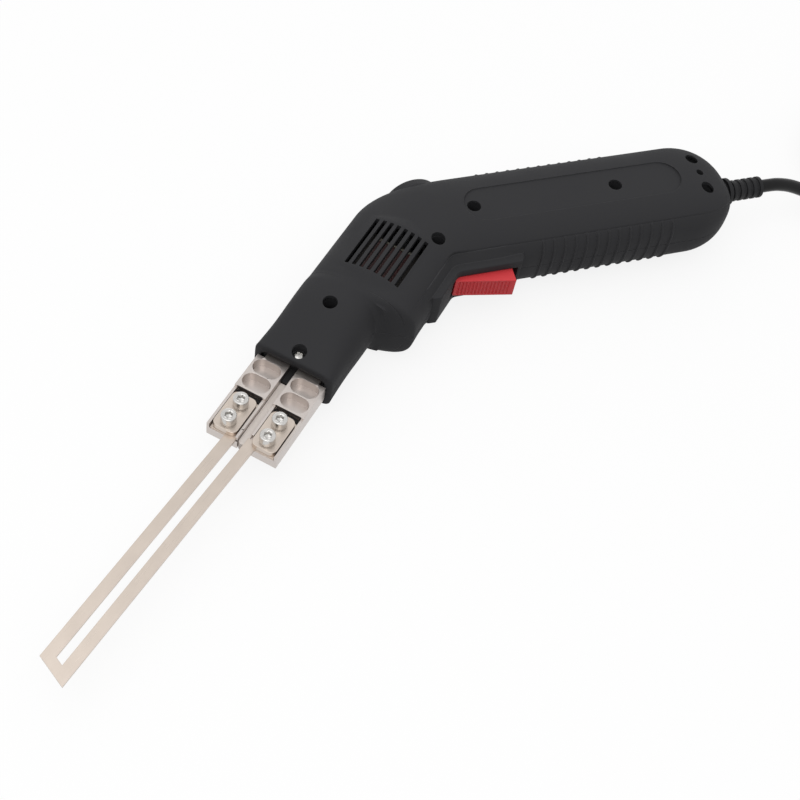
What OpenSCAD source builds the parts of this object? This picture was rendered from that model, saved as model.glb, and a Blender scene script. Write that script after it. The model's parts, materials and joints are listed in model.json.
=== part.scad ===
// Electric hot knife: a pistol-bent mains tool that heats a slotted blade strip.
// The tool lies on its side. +X runs along the grip towards the cord, +Y towards the spine,
// +Z up through the two shells. The parting plane of the shells is the drawing plane.

/* [Grip] */
// Height of the grip from trigger side to spine
grip_h = 56; // [53:0.5:60]
// Thickness of the grip from shell to shell
grip_t = 40; // [38:0.5:43]
// Distance from the bend to the start of the rounded rear end
grip_reach = 156; // [150:1:170]
// Length of the rounded rear end
rear_l = 30.5; // [28:0.5:34]
// Wall thickness of the shells
wall = 2.6; // [2.2:0.1:3]
// Length of the recessed side panel
panel_l = 117; // [100:1:119]
// Width of the recessed side panel
panel_w = 21; // [16:0.5:24]
// Depth of the recessed side panel
panel_depth = 0.9; // [0.6:0.1:1.2]
// Number of grip ribs on each side
rib_count = 13; // [8:1:14]
// Height of the underside grip ribs
rib_h = 0.7; // [0.4:0.1:1]

/* [Nose] */
// Angle between the grip and the nose
bend = 45; // [43:0.5:47]
// Width of the nose across both terminals
nose_w = 40; // [39:0.5:43]
// Distance from the bend to the front lip
nose_reach = 93; // [91:0.5:97]
// Thickness of the front lip
lip_t = 22; // [21:0.5:25]
// Length of the tapered part of the nose
wedge_l = 32; // [29:0.5:33]

/* [Body] */
// Depth of the body on the trigger side, from the nose axis
chin_d = 37; // [36:0.5:39]
// Distance from the bend to the front of the deep body
chin_reach = 43.5; // [42:0.5:46]
// Height of the barrel round the transformer, from crown to crown
barrel_d = 44; // [43:0.5:46]
// Offset of the barrel from the nose axis, to the trigger side
barrel_side = 8; // [7:0.5:9]

/* [Vents] */
// Number of vent slots in each shell
slot_count = 8; // [5:1:9]
// Length of a vent slot
slot_l = 32; // [24:1:33]
// Width of a vent slot
slot_w = 2; // [1.4:0.1:2.4]
// Distance between neighbouring slots
slot_pitch = 3.74; // [3.4:0.02:3.8]

/* [Blade] */
// Overall length of the blade strip with its clamped roots
blade_l = 150; // [100:1:200]
// Width over both legs
blade_w = 15; // [13:0.5:16]
// Gap between the legs
blade_gap = 4; // [3:0.25:5]
// Thickness of the strip
blade_t = 1; // [0.8:0.05:1.4]
// Angle of the slanted tip
tip_angle = 20; // [0:1:30]
// Lean of the blade towards the spine
blade_lean = 3; // [0:0.25:3.5]

/* [Terminals] */
// Width of one terminal block
term_w = 15.5; // [15:0.25:17]
// Gap between the two blocks
term_gap = 4; // [3.6:0.1:4.6]
// Thickness of a block
term_t = 9; // [8.5:0.25:10]
// Length of a block in front of the lip
term_reach = 43; // [42:0.5:46]
// Thickness of a clamp plate
plate_t = 2.8; // [2:0.1:3]
// Nominal diameter of the clamp screws
clamp_d = 4; // [3.5:0.1:4.2]

/* [Trigger] */
// Width of the trigger
trigger_w = 11; // [9:0.5:13]
// Length of the finger face
trigger_l = 29.5; // [27:0.5:30]
// How far the front of the finger face stands out
trigger_proud_front = 5; // [4:0.25:6]
// How far the rear of the finger face stands out
trigger_proud_rear = 10.5; // [9:0.25:12]
// Angle that the trigger turns when pressed
trigger_turn = 9; // [6:0.5:9]
// Distance from the trigger's pivot to the switch plunger
plunger_arm = 20; // [18:0.5:21]

/* [Dial] */
// Diameter of the heat dial
dial_d = 29; // [26:0.5:30]
// Height of the heat dial
dial_h = 4; // [3.4:0.2:5]
// Distance of the dial from the bend
dial_x = 20; // [18:0.5:22]
// Lean of the dial towards the nose
dial_lean = 4; // [2:0.5:6]

/* [Cord] */
// Diameter of the mains cord
cord_d = 7; // [6:0.1:7.4]
// Diameter of the ribbed strain relief
boot_d = 11.2; // [10.2:0.1:12]
// Length of the strain relief behind the grip
boot_l = 21; // [17:1:25]
// Diameter of a plug pin
pin_d = 4.8; // [4:0.1:5]
// Length of a plug pin
pin_l = 19; // [17:0.5:20]
// Distance between the plug pins
pin_pitch = 19; // [18:0.25:20]

/* [Hidden] */
$fn = 48;
hull_fn = 32;
bow_fn = 120;

// Clearances: over for cuts, fit between fixed pieces, run between moving ones
over = 1;
fit = 0.1;
run = 0.05;
gap = 0.35;

// Housing sections
half_h = grip_h / 2;
half_t = grip_t / 2;
half_w = nose_w / 2;
wedge_root = nose_reach - wedge_l;
wedge_slope = (half_t - lip_t / 2) / wedge_l;
lip_round = 0.8;
chin_slope_l = 8;
chin_back = 19;
chin_blend = 3;
blend_end = 35;
under_end = 42;
lip_power = 6;
mid_power = 3.4;
body_power = 2.8;
grip_power = 2.8;
arc_steps = 14;
chin_shares = [0.06, 0.3, 0.55, 0.8, 1];
bend_shares = [0, 0.2, 0.4, 0.6, 0.8, 1];
grip_shares = [0.25, 0.6, 1];
rear_angles = [20, 38, 54, 68, 80];

// Places along the grip
panel_front = 37;
grip_screw_front = 42;
grip_screw_back = 38;
grip_screw_rear = grip_reach - grip_screw_back;
rear_screw_in = 10;
rear_screw_spread = 20;
rear_x = grip_reach + rear_screw_in;
spine_rib_front = 54;
spine_rib_back = 33.6;
spine_rib_pitch = (grip_reach - spine_rib_back - spine_rib_front) / (rib_count - 1);
spine_rib_w = 2.2;
spine_rib_h = 1;
spine_rib_arc = 28;
under_rib_front = 70.6;
under_rib_back = 14.6;
under_rib_pitch = (grip_reach - under_rib_back - under_rib_front) / (rib_count - 1);
under_rib_w = 1.3;
under_rib_arc = 136;
rib_root = 1;

// Screws that hold the shells
screw_d = 2.8;
screw_head_d = 6;
screw_head_h = 2;
sink_d = 7;
boss_d = 9.2;
grip_sink = 8;
nose_sink = 9.4;
body_screw_a = wedge_root;
lip_screw_in = 5;
side_screw = [18, -16.4];
spare_hole_d = 4;
spare_hole_depth = 4;
drive_slot_l = 3.4;
drive_slot_w = 0.8;
drive_depth = 0.9;

// Barrel with coned ends, bowed across more flatly than it is high
barrel_r = barrel_d / 2;
barrel_bow = 40;
barrel_front = 37.3;
barrel_back = 3.5;
cone_front_l = 12;
cone_back_l = 14;
cone_front_drop = 3.8;
cone_back_drop = 2.4;
barrel_spine_l = 19.3;
barrel_under_l = 15;
barrel_clip = 16.5;
core_room_l = 12;
barrel_core_front = 41;
barrel_core_back = 4;
slot_front = 36.8;

// Trigger opening and its raised surround
trigger_front = 23.5;
open_front = 21.5;
open_play = 3.5;
open_rear = trigger_front + trigger_l + open_play;
open_side = 0.6;
surround_rim = 3.5;
surround_z = 11;
surround_proud = 2.2;
surround_proud_front = 3.4;
ramp_z = 9;
ramp_out = 3.6;
ramp_front = 29.3;
ramp_back = 10.5;
ramp_toe = 3;
ramp_in = 5;
pivot_x = 27;
pivot_in = 5;
pivot_y = -(half_h - pivot_in);
pivot_d = 3;
pivot_ear_r = 3.4;
pivot_l = 24;
trigger_top = 2;
trigger_groove_count = 16;
trigger_groove_pitch = 1.75;
trigger_groove_w = 0.7;
trigger_groove_depth = 0.5;
trigger_groove_in = 0.9;
hook_l = 5;
hook_t = 1.8;
plunger_d = 3;
plunger_in = 4;
plunger_x = pivot_x + plunger_arm;
plunger_travel = plunger_arm * tan(trigger_turn);
switch_front = 31;
switch_l = 21.5;
switch_h = 11.4;
switch_w = 16;
switch_up = 4.6;
switch_y = pivot_y + switch_up;

// Dial, potentiometer and board
dial_y = 22.6;
pad_rim = 1;
pad_d = dial_d + 2 * pad_rim;
pad_l = 3.6;
dial_round = 1.2;
dial_play = 0.6;
shaft_d = 6;
shaft_in = 6;
shaft_play = 0.5;
pot_d = 16;
pot_h = 7;
pot_drop = 3.1;
pointer_w = 1.2;
pointer_depth = 0.6;
board_t = 1.6;
board_y = -pot_drop - pot_h - board_t;
board_front = -7;
board_l = 46;
board_w = 24;
triac_l = 15;
triac_w = 10;
triac_t = 4.4;
triac_at = 18;
cap_l = 13;
cap_w = 16;
cap_h = 8;
cap_at = -1;

// Blade clamp
term_in = 27;
term_back = nose_reach - term_in;
shank_w = 12;
lip_gap = 1;
term_front = nose_reach + lip_gap + term_reach;
seat_l = 23.5;
seat_depth = 4;
rim_w = 1.3;
pocket_l = 13.4;
pocket_w = 8.2;
pocket_depth = 5;
pocket_pitch = 9;
pocket_in = 5.2;
plate_l = 22;
plate_round = 3;
plate_in = 0.6;
clamp_pitch = 10.2;
clamp_in = 5.3;
clamp_head_d = 7;
clamp_head_h = 4;
hex_d = 3.4;
hex_depth = 2.2;
washer_t = 1;
washer_d = 6.8;
hole_play = 0.4;
seat_z = term_t / 2 - seat_depth;
plate_z = seat_z + blade_t;
washer_z = plate_z + plate_t;
notch_l = 5;
leg_lap = 4;
lean_back = 17;
lean_a = term_front - lean_back;
tip_web = 5;
insulator_in = 1;
insulator_front = nose_reach - insulator_in;
insulator_l = 18;
insulator_play = 0.45;
insulator_w = nose_w - 2 * wall - 2 * insulator_play;
insulator_t = lip_t - 2 * wall - 2 * insulator_play;
insulator_round = 4.5;

// Transformer, straps and fan
core_back = 6;
core_l = 34;
core_w = 30;
core_t = 22;
leg_w = 10;
yoke_w = 5;
bobbin_wall = 0.8;
bobbin_play = 0.3;
flange_t = 1.2;
wind_t = 3.6;
flange_play = 0.3;
post_w = 4;
post_in = 3;
strap_w = 9;
strap_t = 2;
strap_lap = 8;
fan_size = 25;
fan_t = 10;
fan_back = -15;
fan_side = 5;
fan_bore_d = 23.4;
fan_hub_d = 11;
fan_hub_t = 7;
fan_axle_d = 2;
fan_blades = 7;
fan_blade_t = 0.9;
fan_blade_pitch = 38;
fan_blade_w = 6;
fan_tip_gap = 0.6;
fan_boss_d = 8;
fan_boss_t = 1.5;
fan_arm_w = 2;
fan_arms = 3;
fan_post_w = 5;

// Cord entry
boot_rings = 5;
boot_ring_share = 0.5;
boot_groove = 0.9;
boot_collar_d = 14.6;
boot_collar_l = 2;
boot_neck_d = 11;
boot_flange_d = 16;
boot_flange_l = 3;
boot_in_l = 9;
cord_r = cord_d / 2;
clamp_bar_back = 10;
clamp_bar_x = grip_reach - clamp_bar_back;
clamp_bar_l = 8;
clamp_bar_w = 26;
clamp_bar_t = 3;
clamp_screw_spread = 18;
clamp_screw_d = 2.6;
clamp_screw_head_d = 5;
clamp_screw_head_h = 1.8;
saddle_w = 24;

// Where the cord leaves the strain relief, and the height of the parting plane
exit_x = grip_reach + rear_l + boot_l;
mid_z = barrel_r;

// Route of the cord from the exit, on round points chosen by hand
cord_route = [
    [-66, 0, 0], [-50, 0, 0], [-34, 0, 0], [-17, 0, 0], [0, 0, 0], [6, 0, 0],
    [12, 0, -0.5], [20, -0.5, -2.5], [28, -2, -5.5], [35.5, -4, -9], [43, -7, -12.5],
    [50, -11, -15], [56.5, -15.5, -16.5], [60, -18.5, -17], [63, -21.5, -17]
];
cord_sides = 8;
coil_turns = 7;
coil_rings = 24;
coil_sides = 6;
coil_inner_r = 27;
coil_play = 0.6;
coil_step = cord_d + coil_play;
coil_start_angle = 225;
coil_climb_share = 0.5;
mid_share = 0.5;
coil_apart = 12;
tie_t = 1.2;
tie_w = 8;
tie_angle = 315;
tie_gap = 0.3;
tie_round = 3;
// Straight run of cord from the last loop to the plug
plug_lead = 34;

// Plug
plug_w = 34;
plug_h = 23;
plug_face_l = 7;
plug_grip_l = 24;
plug_tail_d = 11;
plug_tail_l = 16;
plug_grip_share = 0.62;

// Points in the nose's own directions: forward along the nose and out to the trigger side
function nose_at(a, b) = [b * sin(bend) - a * cos(bend), -a * sin(bend) - b * cos(bend)];
function nose_a(p) = -p[0] * cos(bend) - p[1] * sin(bend);
function nose_b(p) = p[0] * sin(bend) - p[1] * cos(bend);
function curve(p, q, r, t) = (1 - t) * (1 - t) * p + 2 * t * (1 - t) * q + t * t * r;
function ease(t) = (1 - cos(180 * t)) / 2;
function unit(v) = v / norm(v);

// Blade corners, which set the part's reach
tip_mid = blade_l - (lean_a - (term_front - seat_l));
tip_lead = blade_w / 2 * tan(tip_angle);
tip_spine = lean_point([tip_mid - tip_lead, -blade_w / 2]);
tip_under = lean_point([tip_mid + tip_lead, blade_w / 2]);
function lean_point(p) = nose_at(
    lean_a + p[0] * cos(blade_lean) + p[1] * sin(blade_lean),
    -p[0] * sin(blade_lean) + p[1] * cos(blade_lean));
x_low = min(tip_spine[0], tip_under[0]);
y_low = min(tip_spine[1], tip_under[1]);
dial_top_y = dial_y + (gap + dial_h) * cos(dial_lean) + (dial_d / 2 - dial_round) * sin(dial_lean)
    + dial_round * (1 - cos(dial_lean));
y_high = max(dial_top_y, half_h + spine_rib_h);
origin = [(x_low + exit_x) / 2, (y_low + y_high) / 2, -mid_z];

module placed() { translate(-origin) children(); }
module nose_frame() { rotate([0, 0, 180 + bend]) children(); }
module blade_frame() { nose_frame() translate([lean_a, 0, 0]) rotate([0, 0, -blade_lean]) children(); }
module dial_frame() { translate([dial_x, dial_y, 0]) rotate([0, 0, dial_lean]) children(); }
module along_x() { rotate([0, 90, 0]) children(); }
module along_y() { rotate([-90, 0, 0]) children(); }

// Station: spine point, trigger-side point, half thickness, power of the rounded section
function nose_station(a, under, half, power) = [nose_at(a, -half_w), nose_at(a, under), half, power];
function wedge_half(a) = a < wedge_root ? half_t : lip_t / 2 + (nose_reach - a) * wedge_slope;
chin_start = chin_reach + chin_slope_l;
function chin_at(t) = let (a = chin_start - chin_slope_l * t)
    nose_station(a, half_w + (chin_d - half_w) * ease(t), wedge_half(a), body_power);
corner = nose_at((half_w * cos(bend) - half_h) / sin(bend), -half_w);
under_corner = [open_front + over, -half_h];
function bend_at(t) = [
    curve(nose_at(0, -half_w), corner, [blend_end, half_h], t),
    curve(nose_at(chin_back - chin_blend, chin_d), under_corner, [under_end, -half_h], t),
    half_t, body_power];
function grip_at(x) = [[x, half_h], [x, -half_h], half_t, grip_power];
function rear_at(angle, skin) = let (
    x = grip_reach + (rear_l - skin) * sin(angle),
    h = (half_h - skin) * cos(angle) + skin,
    t = (half_t - skin) * cos(angle) + skin) [[x, h], [x, -h], t, grip_power];
lip_station = [nose_at(nose_reach, -half_w + lip_round), nose_at(nose_reach, half_w - lip_round),
    lip_t / 2 - lip_round, lip_power];
wedge_end = max(wedge_root, chin_start + over);
wedge_places = [nose_reach - lip_round, (nose_reach + wedge_end) / 2, wedge_end];
wedge_powers = [lip_power, mid_power, body_power];
function stations(skin) = concat(
    [lip_station],
    [for (i = [0 : len(wedge_places) - 1])
        nose_station(wedge_places[i], half_w, wedge_half(wedge_places[i]), wedge_powers[i])],
    [for (t = chin_shares) chin_at(t)],
    [for (a = [(chin_reach + chin_back) / 2, chin_back]) nose_station(a, chin_d, half_t, body_power)],
    [for (t = bend_shares) bend_at(t)],
    [for (t = grip_shares) grip_at(under_end + (grip_reach - under_end) * t)],
    [for (angle = rear_angles) rear_at(angle, skin)]);

// Half ring of a station, from the spine over the shell to the trigger side, set in by the skin
function section_ring(s, skin) = let (
    mid = (s[0] + s[1]) / 2,
    out = unit(s[0] - s[1]),
    w = norm(s[0] - s[1]) / 2 - skin,
    h = s[2] - skin) [
    for (j = [0 : arc_steps]) let (
        angle = 180 * j / arc_steps,
        c = cos(angle),
        p = mid + out * w * sign(c) * pow(abs(c), 2 / s[3]))
        [p[0], p[1], j == 0 || j == arc_steps ? 0 : h * pow(sin(angle), 2 / s[3])]];
function skin_at_grip(y) = half_t * pow(1 - pow(abs(y) / half_h, grip_power), 1 / grip_power);
function barrel_skin_at(b) = barrel_r - barrel_bow
    + sqrt(barrel_bow * barrel_bow - (b - barrel_side) * (b - barrel_side));

// One half of the moulded housing: an outer and an inner skin joined along the parting plane
module housing_half() {
    outer = [for (s = stations(0)) section_ring(s, 0)];
    inner = [for (s = stations(wall)) section_ring(s, wall)];
    last = len(outer) - 1;
    ring = arc_steps + 1;
    shift = len(outer) * ring;
    points = concat([for (r = outer) each r], [for (r = inner) each r]);
    skins = [for (i = [0 : last - 1]) for (j = [0 : arc_steps - 1]) let (
        a = i * ring + j, b = a + 1, c = b + ring, d = a + ring)
        each [[a, d, c], [a, c, b], [a + shift, b + shift, c + shift], [a + shift, c + shift, d + shift]]];
    rims = [for (i = [0 : last - 1]) let (
        a = i * ring, d = a + ring, b = a + arc_steps, c = d + arc_steps)
        each [[a + shift, d + shift, d, a], [b, c, c + shift, b + shift]]];
    lip = [for (j = [0 : arc_steps - 1]) [j, j + 1, j + 1 + shift, j + shift]];
    end = last * ring;
    caps = [
        [for (j = [arc_steps : -1 : 0]) end + j],
        [for (j = [0 : arc_steps]) end + j + shift],
        [end + arc_steps, end, end + shift, end + arc_steps + shift]];
    polyhedron(points, concat(skins, rims, lip, caps), convexity = 8);
}

// Half of the barrel with its coned ends, or of the space inside it, between two sides of its axis
module barrel_half(skin, back, front, cones, low, spine_l, under_l) {
    r = barrel_bow - skin;
    profile = [[0, back - cones * cone_back_l], [r - cones * cone_back_drop, back - cones * cone_back_l],
        [r, back], [r, front], [r - cones * cone_front_drop, front + cones * cone_front_l],
        [0, front + cones * cone_front_l]];
    intersection() {
        nose_frame() translate([0, barrel_side, barrel_r - barrel_bow]) rotate([90, 0, 90])
            rotate_extrude(angle = 180, $fn = bow_fn) polygon(profile);
        nose_frame() translate([-nose_reach, barrel_side - spine_l, low])
            cube([2 * nose_reach, spine_l + under_l, barrel_d]);
    }
}

// Rib that follows the grip's section between two angles, from the parting plane
module grip_rib(x, w, h, from, to) {
    steps = arc_steps / 2;
    angles = [for (k = [0 : steps]) from + (to - from) * k / steps];
    function on(angle, skin) = let (c = cos(angle), s = max(0, sin(angle)))
        [(half_h - skin) * sign(c) * pow(abs(c), 2 / grip_power), (half_t - skin) * pow(s, 2 / grip_power)];
    translate([x - w / 2, 0, 0]) rotate([90, 0, 90]) linear_extrude(w)
        polygon(concat([for (v = angles) on(v, -h)],
            [for (k = [steps : -1 : 0]) on(angles[k], rib_root)]));
}

module grip_ribs() {
    for (k = [0 : rib_count - 1]) {
        grip_rib(spine_rib_front + k * spine_rib_pitch, spine_rib_w, spine_rib_h, 0, spine_rib_arc);
        grip_rib(under_rib_front + k * under_rib_pitch, under_rib_w, rib_h, under_rib_arc, 180);
    }
}

// Raised surround of the trigger opening, with a ramp that runs on along the body to a small foot
module trigger_surround() {
    top = -half_h + wall;
    linear_extrude(surround_z) polygon([
        [open_front - surround_rim, top],
        [open_rear + surround_rim, top],
        [open_rear + surround_rim, -half_h],
        [open_rear + surround_rim / 2, -half_h - surround_proud],
        [open_front - surround_rim / 2, -half_h - surround_proud_front]]);
    linear_extrude(ramp_z) polygon([
        nose_at(ramp_back, chin_d - ramp_in),
        nose_at(ramp_back, chin_d + ramp_out),
        nose_at(ramp_front, chin_d + ramp_out),
        nose_at(ramp_front + ramp_toe, chin_d),
        nose_at(ramp_front, chin_d - wall)]);
}

// Shell screws: place, height of the head's seat, inner end and outer end of the boss
lip_screw = nose_at(nose_reach - lip_screw_in, 0);
body_screw = nose_at(body_screw_a, 0);
boss_in = 2;
lip_boss_end = wedge_half(nose_reach - lip_screw_in) - boss_in;
insulator_top = insulator_t / 2 + fit;
screw_sites = [
    [[grip_screw_front, 0], grip_sink, 0, half_t - boss_in],
    [[grip_screw_rear, 0], grip_sink, 0, half_t - boss_in],
    [[rear_x, rear_screw_spread / 2], grip_sink, 0, half_t - 2 * boss_in],
    [[rear_x, -rear_screw_spread / 2], grip_sink, 0, half_t - 2 * boss_in],
    [side_screw, grip_sink, 0, half_t - 2 * boss_in],
    [body_screw, grip_sink, 0, half_t - boss_in]];
lip_site = [lip_screw, nose_sink, insulator_top, lip_boss_end];
all_sites = concat(screw_sites, [lip_site]);

module at_site(site) { translate([site[0][0], site[0][1], 0]) children(); }

module bosses() {
    for (site = all_sites) at_site(site)
        translate([0, 0, site[2]]) cylinder(d = boss_d, h = site[3] - site[2]);
}

// Posts that hold the transformer core and the fan between the shells
core_posts = [for (a = [core_back + post_in, core_back + core_l - post_in]) for (side = [-1, 1])
    [a, barrel_side + side * (core_w / 2 - post_in)]];
module inner_posts() {
    for (p = core_posts) nose_frame() translate([p[0] - post_w / 2, p[1] - post_w / 2, core_t / 2])
        cube([post_w, post_w, barrel_skin_at(barrel_side + core_w / 2 - post_in) - wall / 2 - core_t / 2]);
    nose_frame() translate([fan_back, fan_side - fan_post_w / 2, fan_size / 2])
        cube([fan_t, fan_post_w, half_t - wall / 2 - fan_size / 2]);
    translate([pivot_x, pivot_y, trigger_w / 2 + gap])
        cylinder(r = pivot_ear_r, h = pivot_l / 2 - trigger_w / 2);
    translate([switch_front + (switch_l - post_w) / 2, switch_y + (switch_h - post_w) / 2, switch_w / 2])
        cube([post_w, post_w, half_t - boss_in - switch_w / 2]);
    dial_frame() translate([board_front + board_l - post_w, board_y, board_w / 2])
        cube([post_w, post_w, skin_at_grip(half_h / 2) - wall / 2 - board_w / 2]);
}

// Half of the flat pad under the dial
module dial_pad() {
    dial_frame() rotate([-90, 0, 0]) rotate([0, 0, 180]) translate([0, 0, -pad_l])
        rotate_extrude(angle = 180) square([pad_d / 2, pad_l]);
}

module shell_cuts(upper) {
    first_slot = barrel_side - (slot_count - 1) / 2 * slot_pitch - slot_w / 2;
    for (k = [0 : slot_count - 1]) nose_frame()
        translate([slot_front - slot_l, first_slot + k * slot_pitch, core_t / 2])
            cube([slot_l, slot_w, barrel_r]);
    translate([open_front, -half_h - chin_d, -over])
        cube([open_rear - open_front, chin_d + pivot_in + over, trigger_w / 2 + open_side + over]);
    translate([pivot_x, pivot_y, -over]) cylinder(d = pivot_d + 2 * run, h = pivot_l / 2 + over);
    dial_frame() along_y() translate([0, 0, -pot_drop])
        cylinder(d = shaft_d + 2 * shaft_play, h = pot_drop + over);
    dial_frame() along_y() cylinder(d = dial_d + 2 * dial_play, h = half_h);
    dial_frame() along_y() translate([0, 0, -pad_l - over])
        cylinder(d = pot_d + 2 * fit, h = pad_l + over - wall);
    translate([grip_reach, 0, 0]) along_x() cylinder(d = boot_neck_d + 2 * run, h = rear_l + over);
    translate([rear_x, 0, half_t - spare_hole_depth])
        cylinder(d = spare_hole_d, h = spare_hole_depth + over);
    translate([panel_front, 0, half_t - panel_depth]) side_panel();
    for (site = all_sites) at_site(site) {
        translate([0, 0, -over])
            cylinder(d = screw_d + 2 * run, h = site[3] + over - (upper ? 0 : boss_in));
        if (upper) translate([0, 0, site[1]]) cylinder(d = sink_d, h = half_t);
    }
}

// Stadium-shaped recess on the side of the grip
module side_panel() {
    linear_extrude(half_t) {
        for (x = [panel_w / 2, panel_l - panel_w / 2]) translate([x, 0]) circle(d = panel_w);
        translate([panel_w / 2, -panel_w / 2]) square([panel_l - panel_w, panel_w]);
    }
}

module shell_half(upper) {
    difference() {
        union() {
            difference() {
                union() {
                    housing_half();
                    barrel_half(0, barrel_back, barrel_front, 1,
                        barrel_clip, barrel_spine_l, barrel_under_l);
                }
                barrel_half(wall, barrel_core_back, barrel_core_front, 0,
                    core_t / 2, core_room_l, core_room_l);
            }
            grip_ribs();
            trigger_surround();
            bosses();
            inner_posts();
            dial_pad();
        }
        shell_cuts(upper);
    }
}

module upper_shell() { color("#3c3c3e") placed() shell_half(true); }
module lower_shell() { color("#3c3c3e") placed() mirror([0, 0, 1]) shell_half(false); }

// Pan head screw with a cross recess, its head's seat at zero
module pan_screw(d, head_d, head_h, l) {
    difference() {
        union() {
            cylinder(d = head_d, h = head_h);
            translate([0, 0, -l]) cylinder(d = d, h = l);
        }
        for (turn = [0, 90]) rotate([0, 0, turn])
            translate([-drive_slot_l / 2, -drive_slot_w / 2, head_h - drive_depth])
                cube([drive_slot_l, drive_slot_w, drive_depth + over]);
    }
}
module shell_screw(site) {
    at_site(site) translate([0, 0, site[1]])
        pan_screw(screw_d, screw_head_d, screw_head_h, site[1] + site[3] - 2 * boss_in);
}
module shell_screws() { color("#1d1d1f") placed() for (site = screw_sites) shell_screw(site); }
module nose_screw() { color("#d8d8d6") placed() shell_screw(lip_site); }

// Terminal block on one side of the nose axis: side is -1 for the spine, 1 for the trigger
module terminal(side) {
    back = nose_reach + lip_gap;
    mid = side * (term_gap + term_w) / 2;
    nose_frame() difference() {
        union() {
            translate([back, mid - term_w / 2, -term_t / 2]) cube([term_reach, term_w, term_t]);
            translate([term_back, side > 0 ? term_gap / 2 : -term_gap / 2 - shank_w, -term_t / 2])
                cube([back - term_back, shank_w, term_t]);
        }
        for (k = [0, 1]) translate([back + pocket_in + k * pocket_pitch, mid, term_t / 2 - pocket_depth])
            stadium(pocket_l, pocket_w, pocket_depth + over);
        translate([term_front - seat_l, mid - term_w / 2 + rim_w, seat_z])
            cube([seat_l + over, term_w - 2 * rim_w, seat_depth + over]);
        translate([term_front - notch_l, -term_gap / 2 - rim_w - over, seat_z])
            cube([notch_l + over, term_gap + 2 * rim_w + 2 * over, seat_depth + over]);
        for (a = clamp_places) translate([a, mid, -term_t]) cylinder(d = clamp_d + 2 * run, h = 2 * term_t);
    }
}
clamp_places = [for (k = [0, 1]) term_front - clamp_in - k * clamp_pitch];
module stadium(l, w, h) {
    linear_extrude(h) {
        for (s = [-1, 1]) translate([0, s * (l - w) / 2]) circle(d = w);
        translate([-w / 2, -(l - w) / 2]) square([w, l - w]);
    }
}
module spine_terminal() { color("#d7d0cc") placed() terminal(-1); }
module trigger_terminal() { color("#d7d0cc") placed() terminal(1); }

module rounded_plate(l, w, r) {
    translate([r, 0]) square([l - 2 * r, w]);
    translate([0, r]) square([l, w - 2 * r]);
    for (x = [r, l - r]) for (y = [r, w - r]) translate([x, y]) circle(r = r);
}
module clamp_plate(side) {
    w = term_w - 2 * rim_w - 2 * hole_play;
    mid = side * (term_gap + term_w) / 2;
    nose_frame() difference() {
        translate([term_front - plate_in - plate_l, mid - w / 2, plate_z])
            linear_extrude(plate_t) rounded_plate(plate_l, w, plate_round);
        for (a = clamp_places) translate([a, mid, 0]) cylinder(d = clamp_d + hole_play, h = term_t);
    }
}
module spine_clamp_plate() { color("#cfc6bd") placed() clamp_plate(-1); }
module trigger_clamp_plate() { color("#cfc6bd") placed() clamp_plate(1); }

module at_clamps() {
    for (side = [-1, 1]) for (a = clamp_places)
        nose_frame() translate([a, side * (term_gap + term_w) / 2, washer_z]) children();
}
module clamp_screws() {
    color("#d9d9d9") placed() at_clamps() difference() {
        union() {
            translate([0, 0, washer_t]) cylinder(d = clamp_head_d, h = clamp_head_h);
            translate([0, 0, -washer_z - term_t / 2])
                cylinder(d = clamp_d, h = washer_z + term_t / 2 + washer_t);
        }
        translate([0, 0, washer_t + clamp_head_h - hex_depth])
            cylinder(d = hex_d, h = hex_depth + over, $fn = 6);
    }
}
module clamp_washers() {
    color("#c4c4c4") placed() at_clamps() difference() {
        cylinder(d = washer_d, h = washer_t);
        translate([0, 0, -over]) cylinder(d = clamp_d + 2 * run, h = washer_t + 2 * over);
    }
}

// Blade strip: two roots under the plates, two leaning legs and a slanted tip
module blade() {
    root_w = term_w - 2 * rim_w - 2 * hole_play;
    leg_start = term_front - leg_lap - lean_a;
    inner_tip = tip_mid - tip_web;
    slope = tan(tip_angle);
    color("#cdc3b9") placed() {
        difference() {
            union() {
                for (side = [-1, 1]) nose_frame()
                    translate([term_front - seat_l + gap, (side * (term_gap + term_w) - root_w) / 2, seat_z])
                        cube([seat_l - 2 * gap, root_w, blade_t]);
                blade_frame() translate([0, 0, seat_z]) linear_extrude(blade_t) difference() {
                    polygon([[leg_start, -blade_w / 2], [tip_mid - tip_lead, -blade_w / 2],
                        [tip_mid + tip_lead, blade_w / 2], [leg_start, blade_w / 2]]);
                    polygon([[0, -blade_gap / 2], [inner_tip - slope * blade_gap / 2, -blade_gap / 2],
                        [inner_tip + slope * blade_gap / 2, blade_gap / 2], [0, blade_gap / 2]]);
                }
            }
            at_clamps() translate([0, 0, -term_t]) cylinder(d = clamp_d + hole_play, h = term_t);
        }
    }
}

// Moulded insulator that carries both terminals inside the front lip
module nose_insulator() {
    color("#151515") placed() nose_frame() difference() {
        translate([insulator_front - insulator_l, 0, 0]) rotate([90, 0, 90]) linear_extrude(insulator_l)
            translate([-insulator_w / 2, -insulator_t / 2])
                rounded_plate(insulator_w, insulator_t, insulator_round);
        for (side = [-1, 1]) translate([insulator_front - insulator_l - over,
            side * (term_gap + shank_w) / 2 - shank_w / 2 - fit, -term_t / 2 - fit])
            cube([insulator_l + 2 * over, shank_w + 2 * fit, term_t + 2 * fit]);
        translate([nose_reach - lip_screw_in, 0, -insulator_t])
            cylinder(d = screw_d + 2 * run, h = 2 * insulator_t);
    }
}

// Flat copper straps from the transformer to the terminals
module secondary_straps() {
    start = core_back + core_l + gap;
    mid = term_gap / 2 + shank_w - strap_w / 2;
    color("#b87346") placed() nose_frame() for (side = [-1, 1])
        translate([start, side * mid - strap_w / 2, -term_t / 2 - strap_t])
            cube([term_back + strap_lap - start, strap_w, strap_t]);
}

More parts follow.
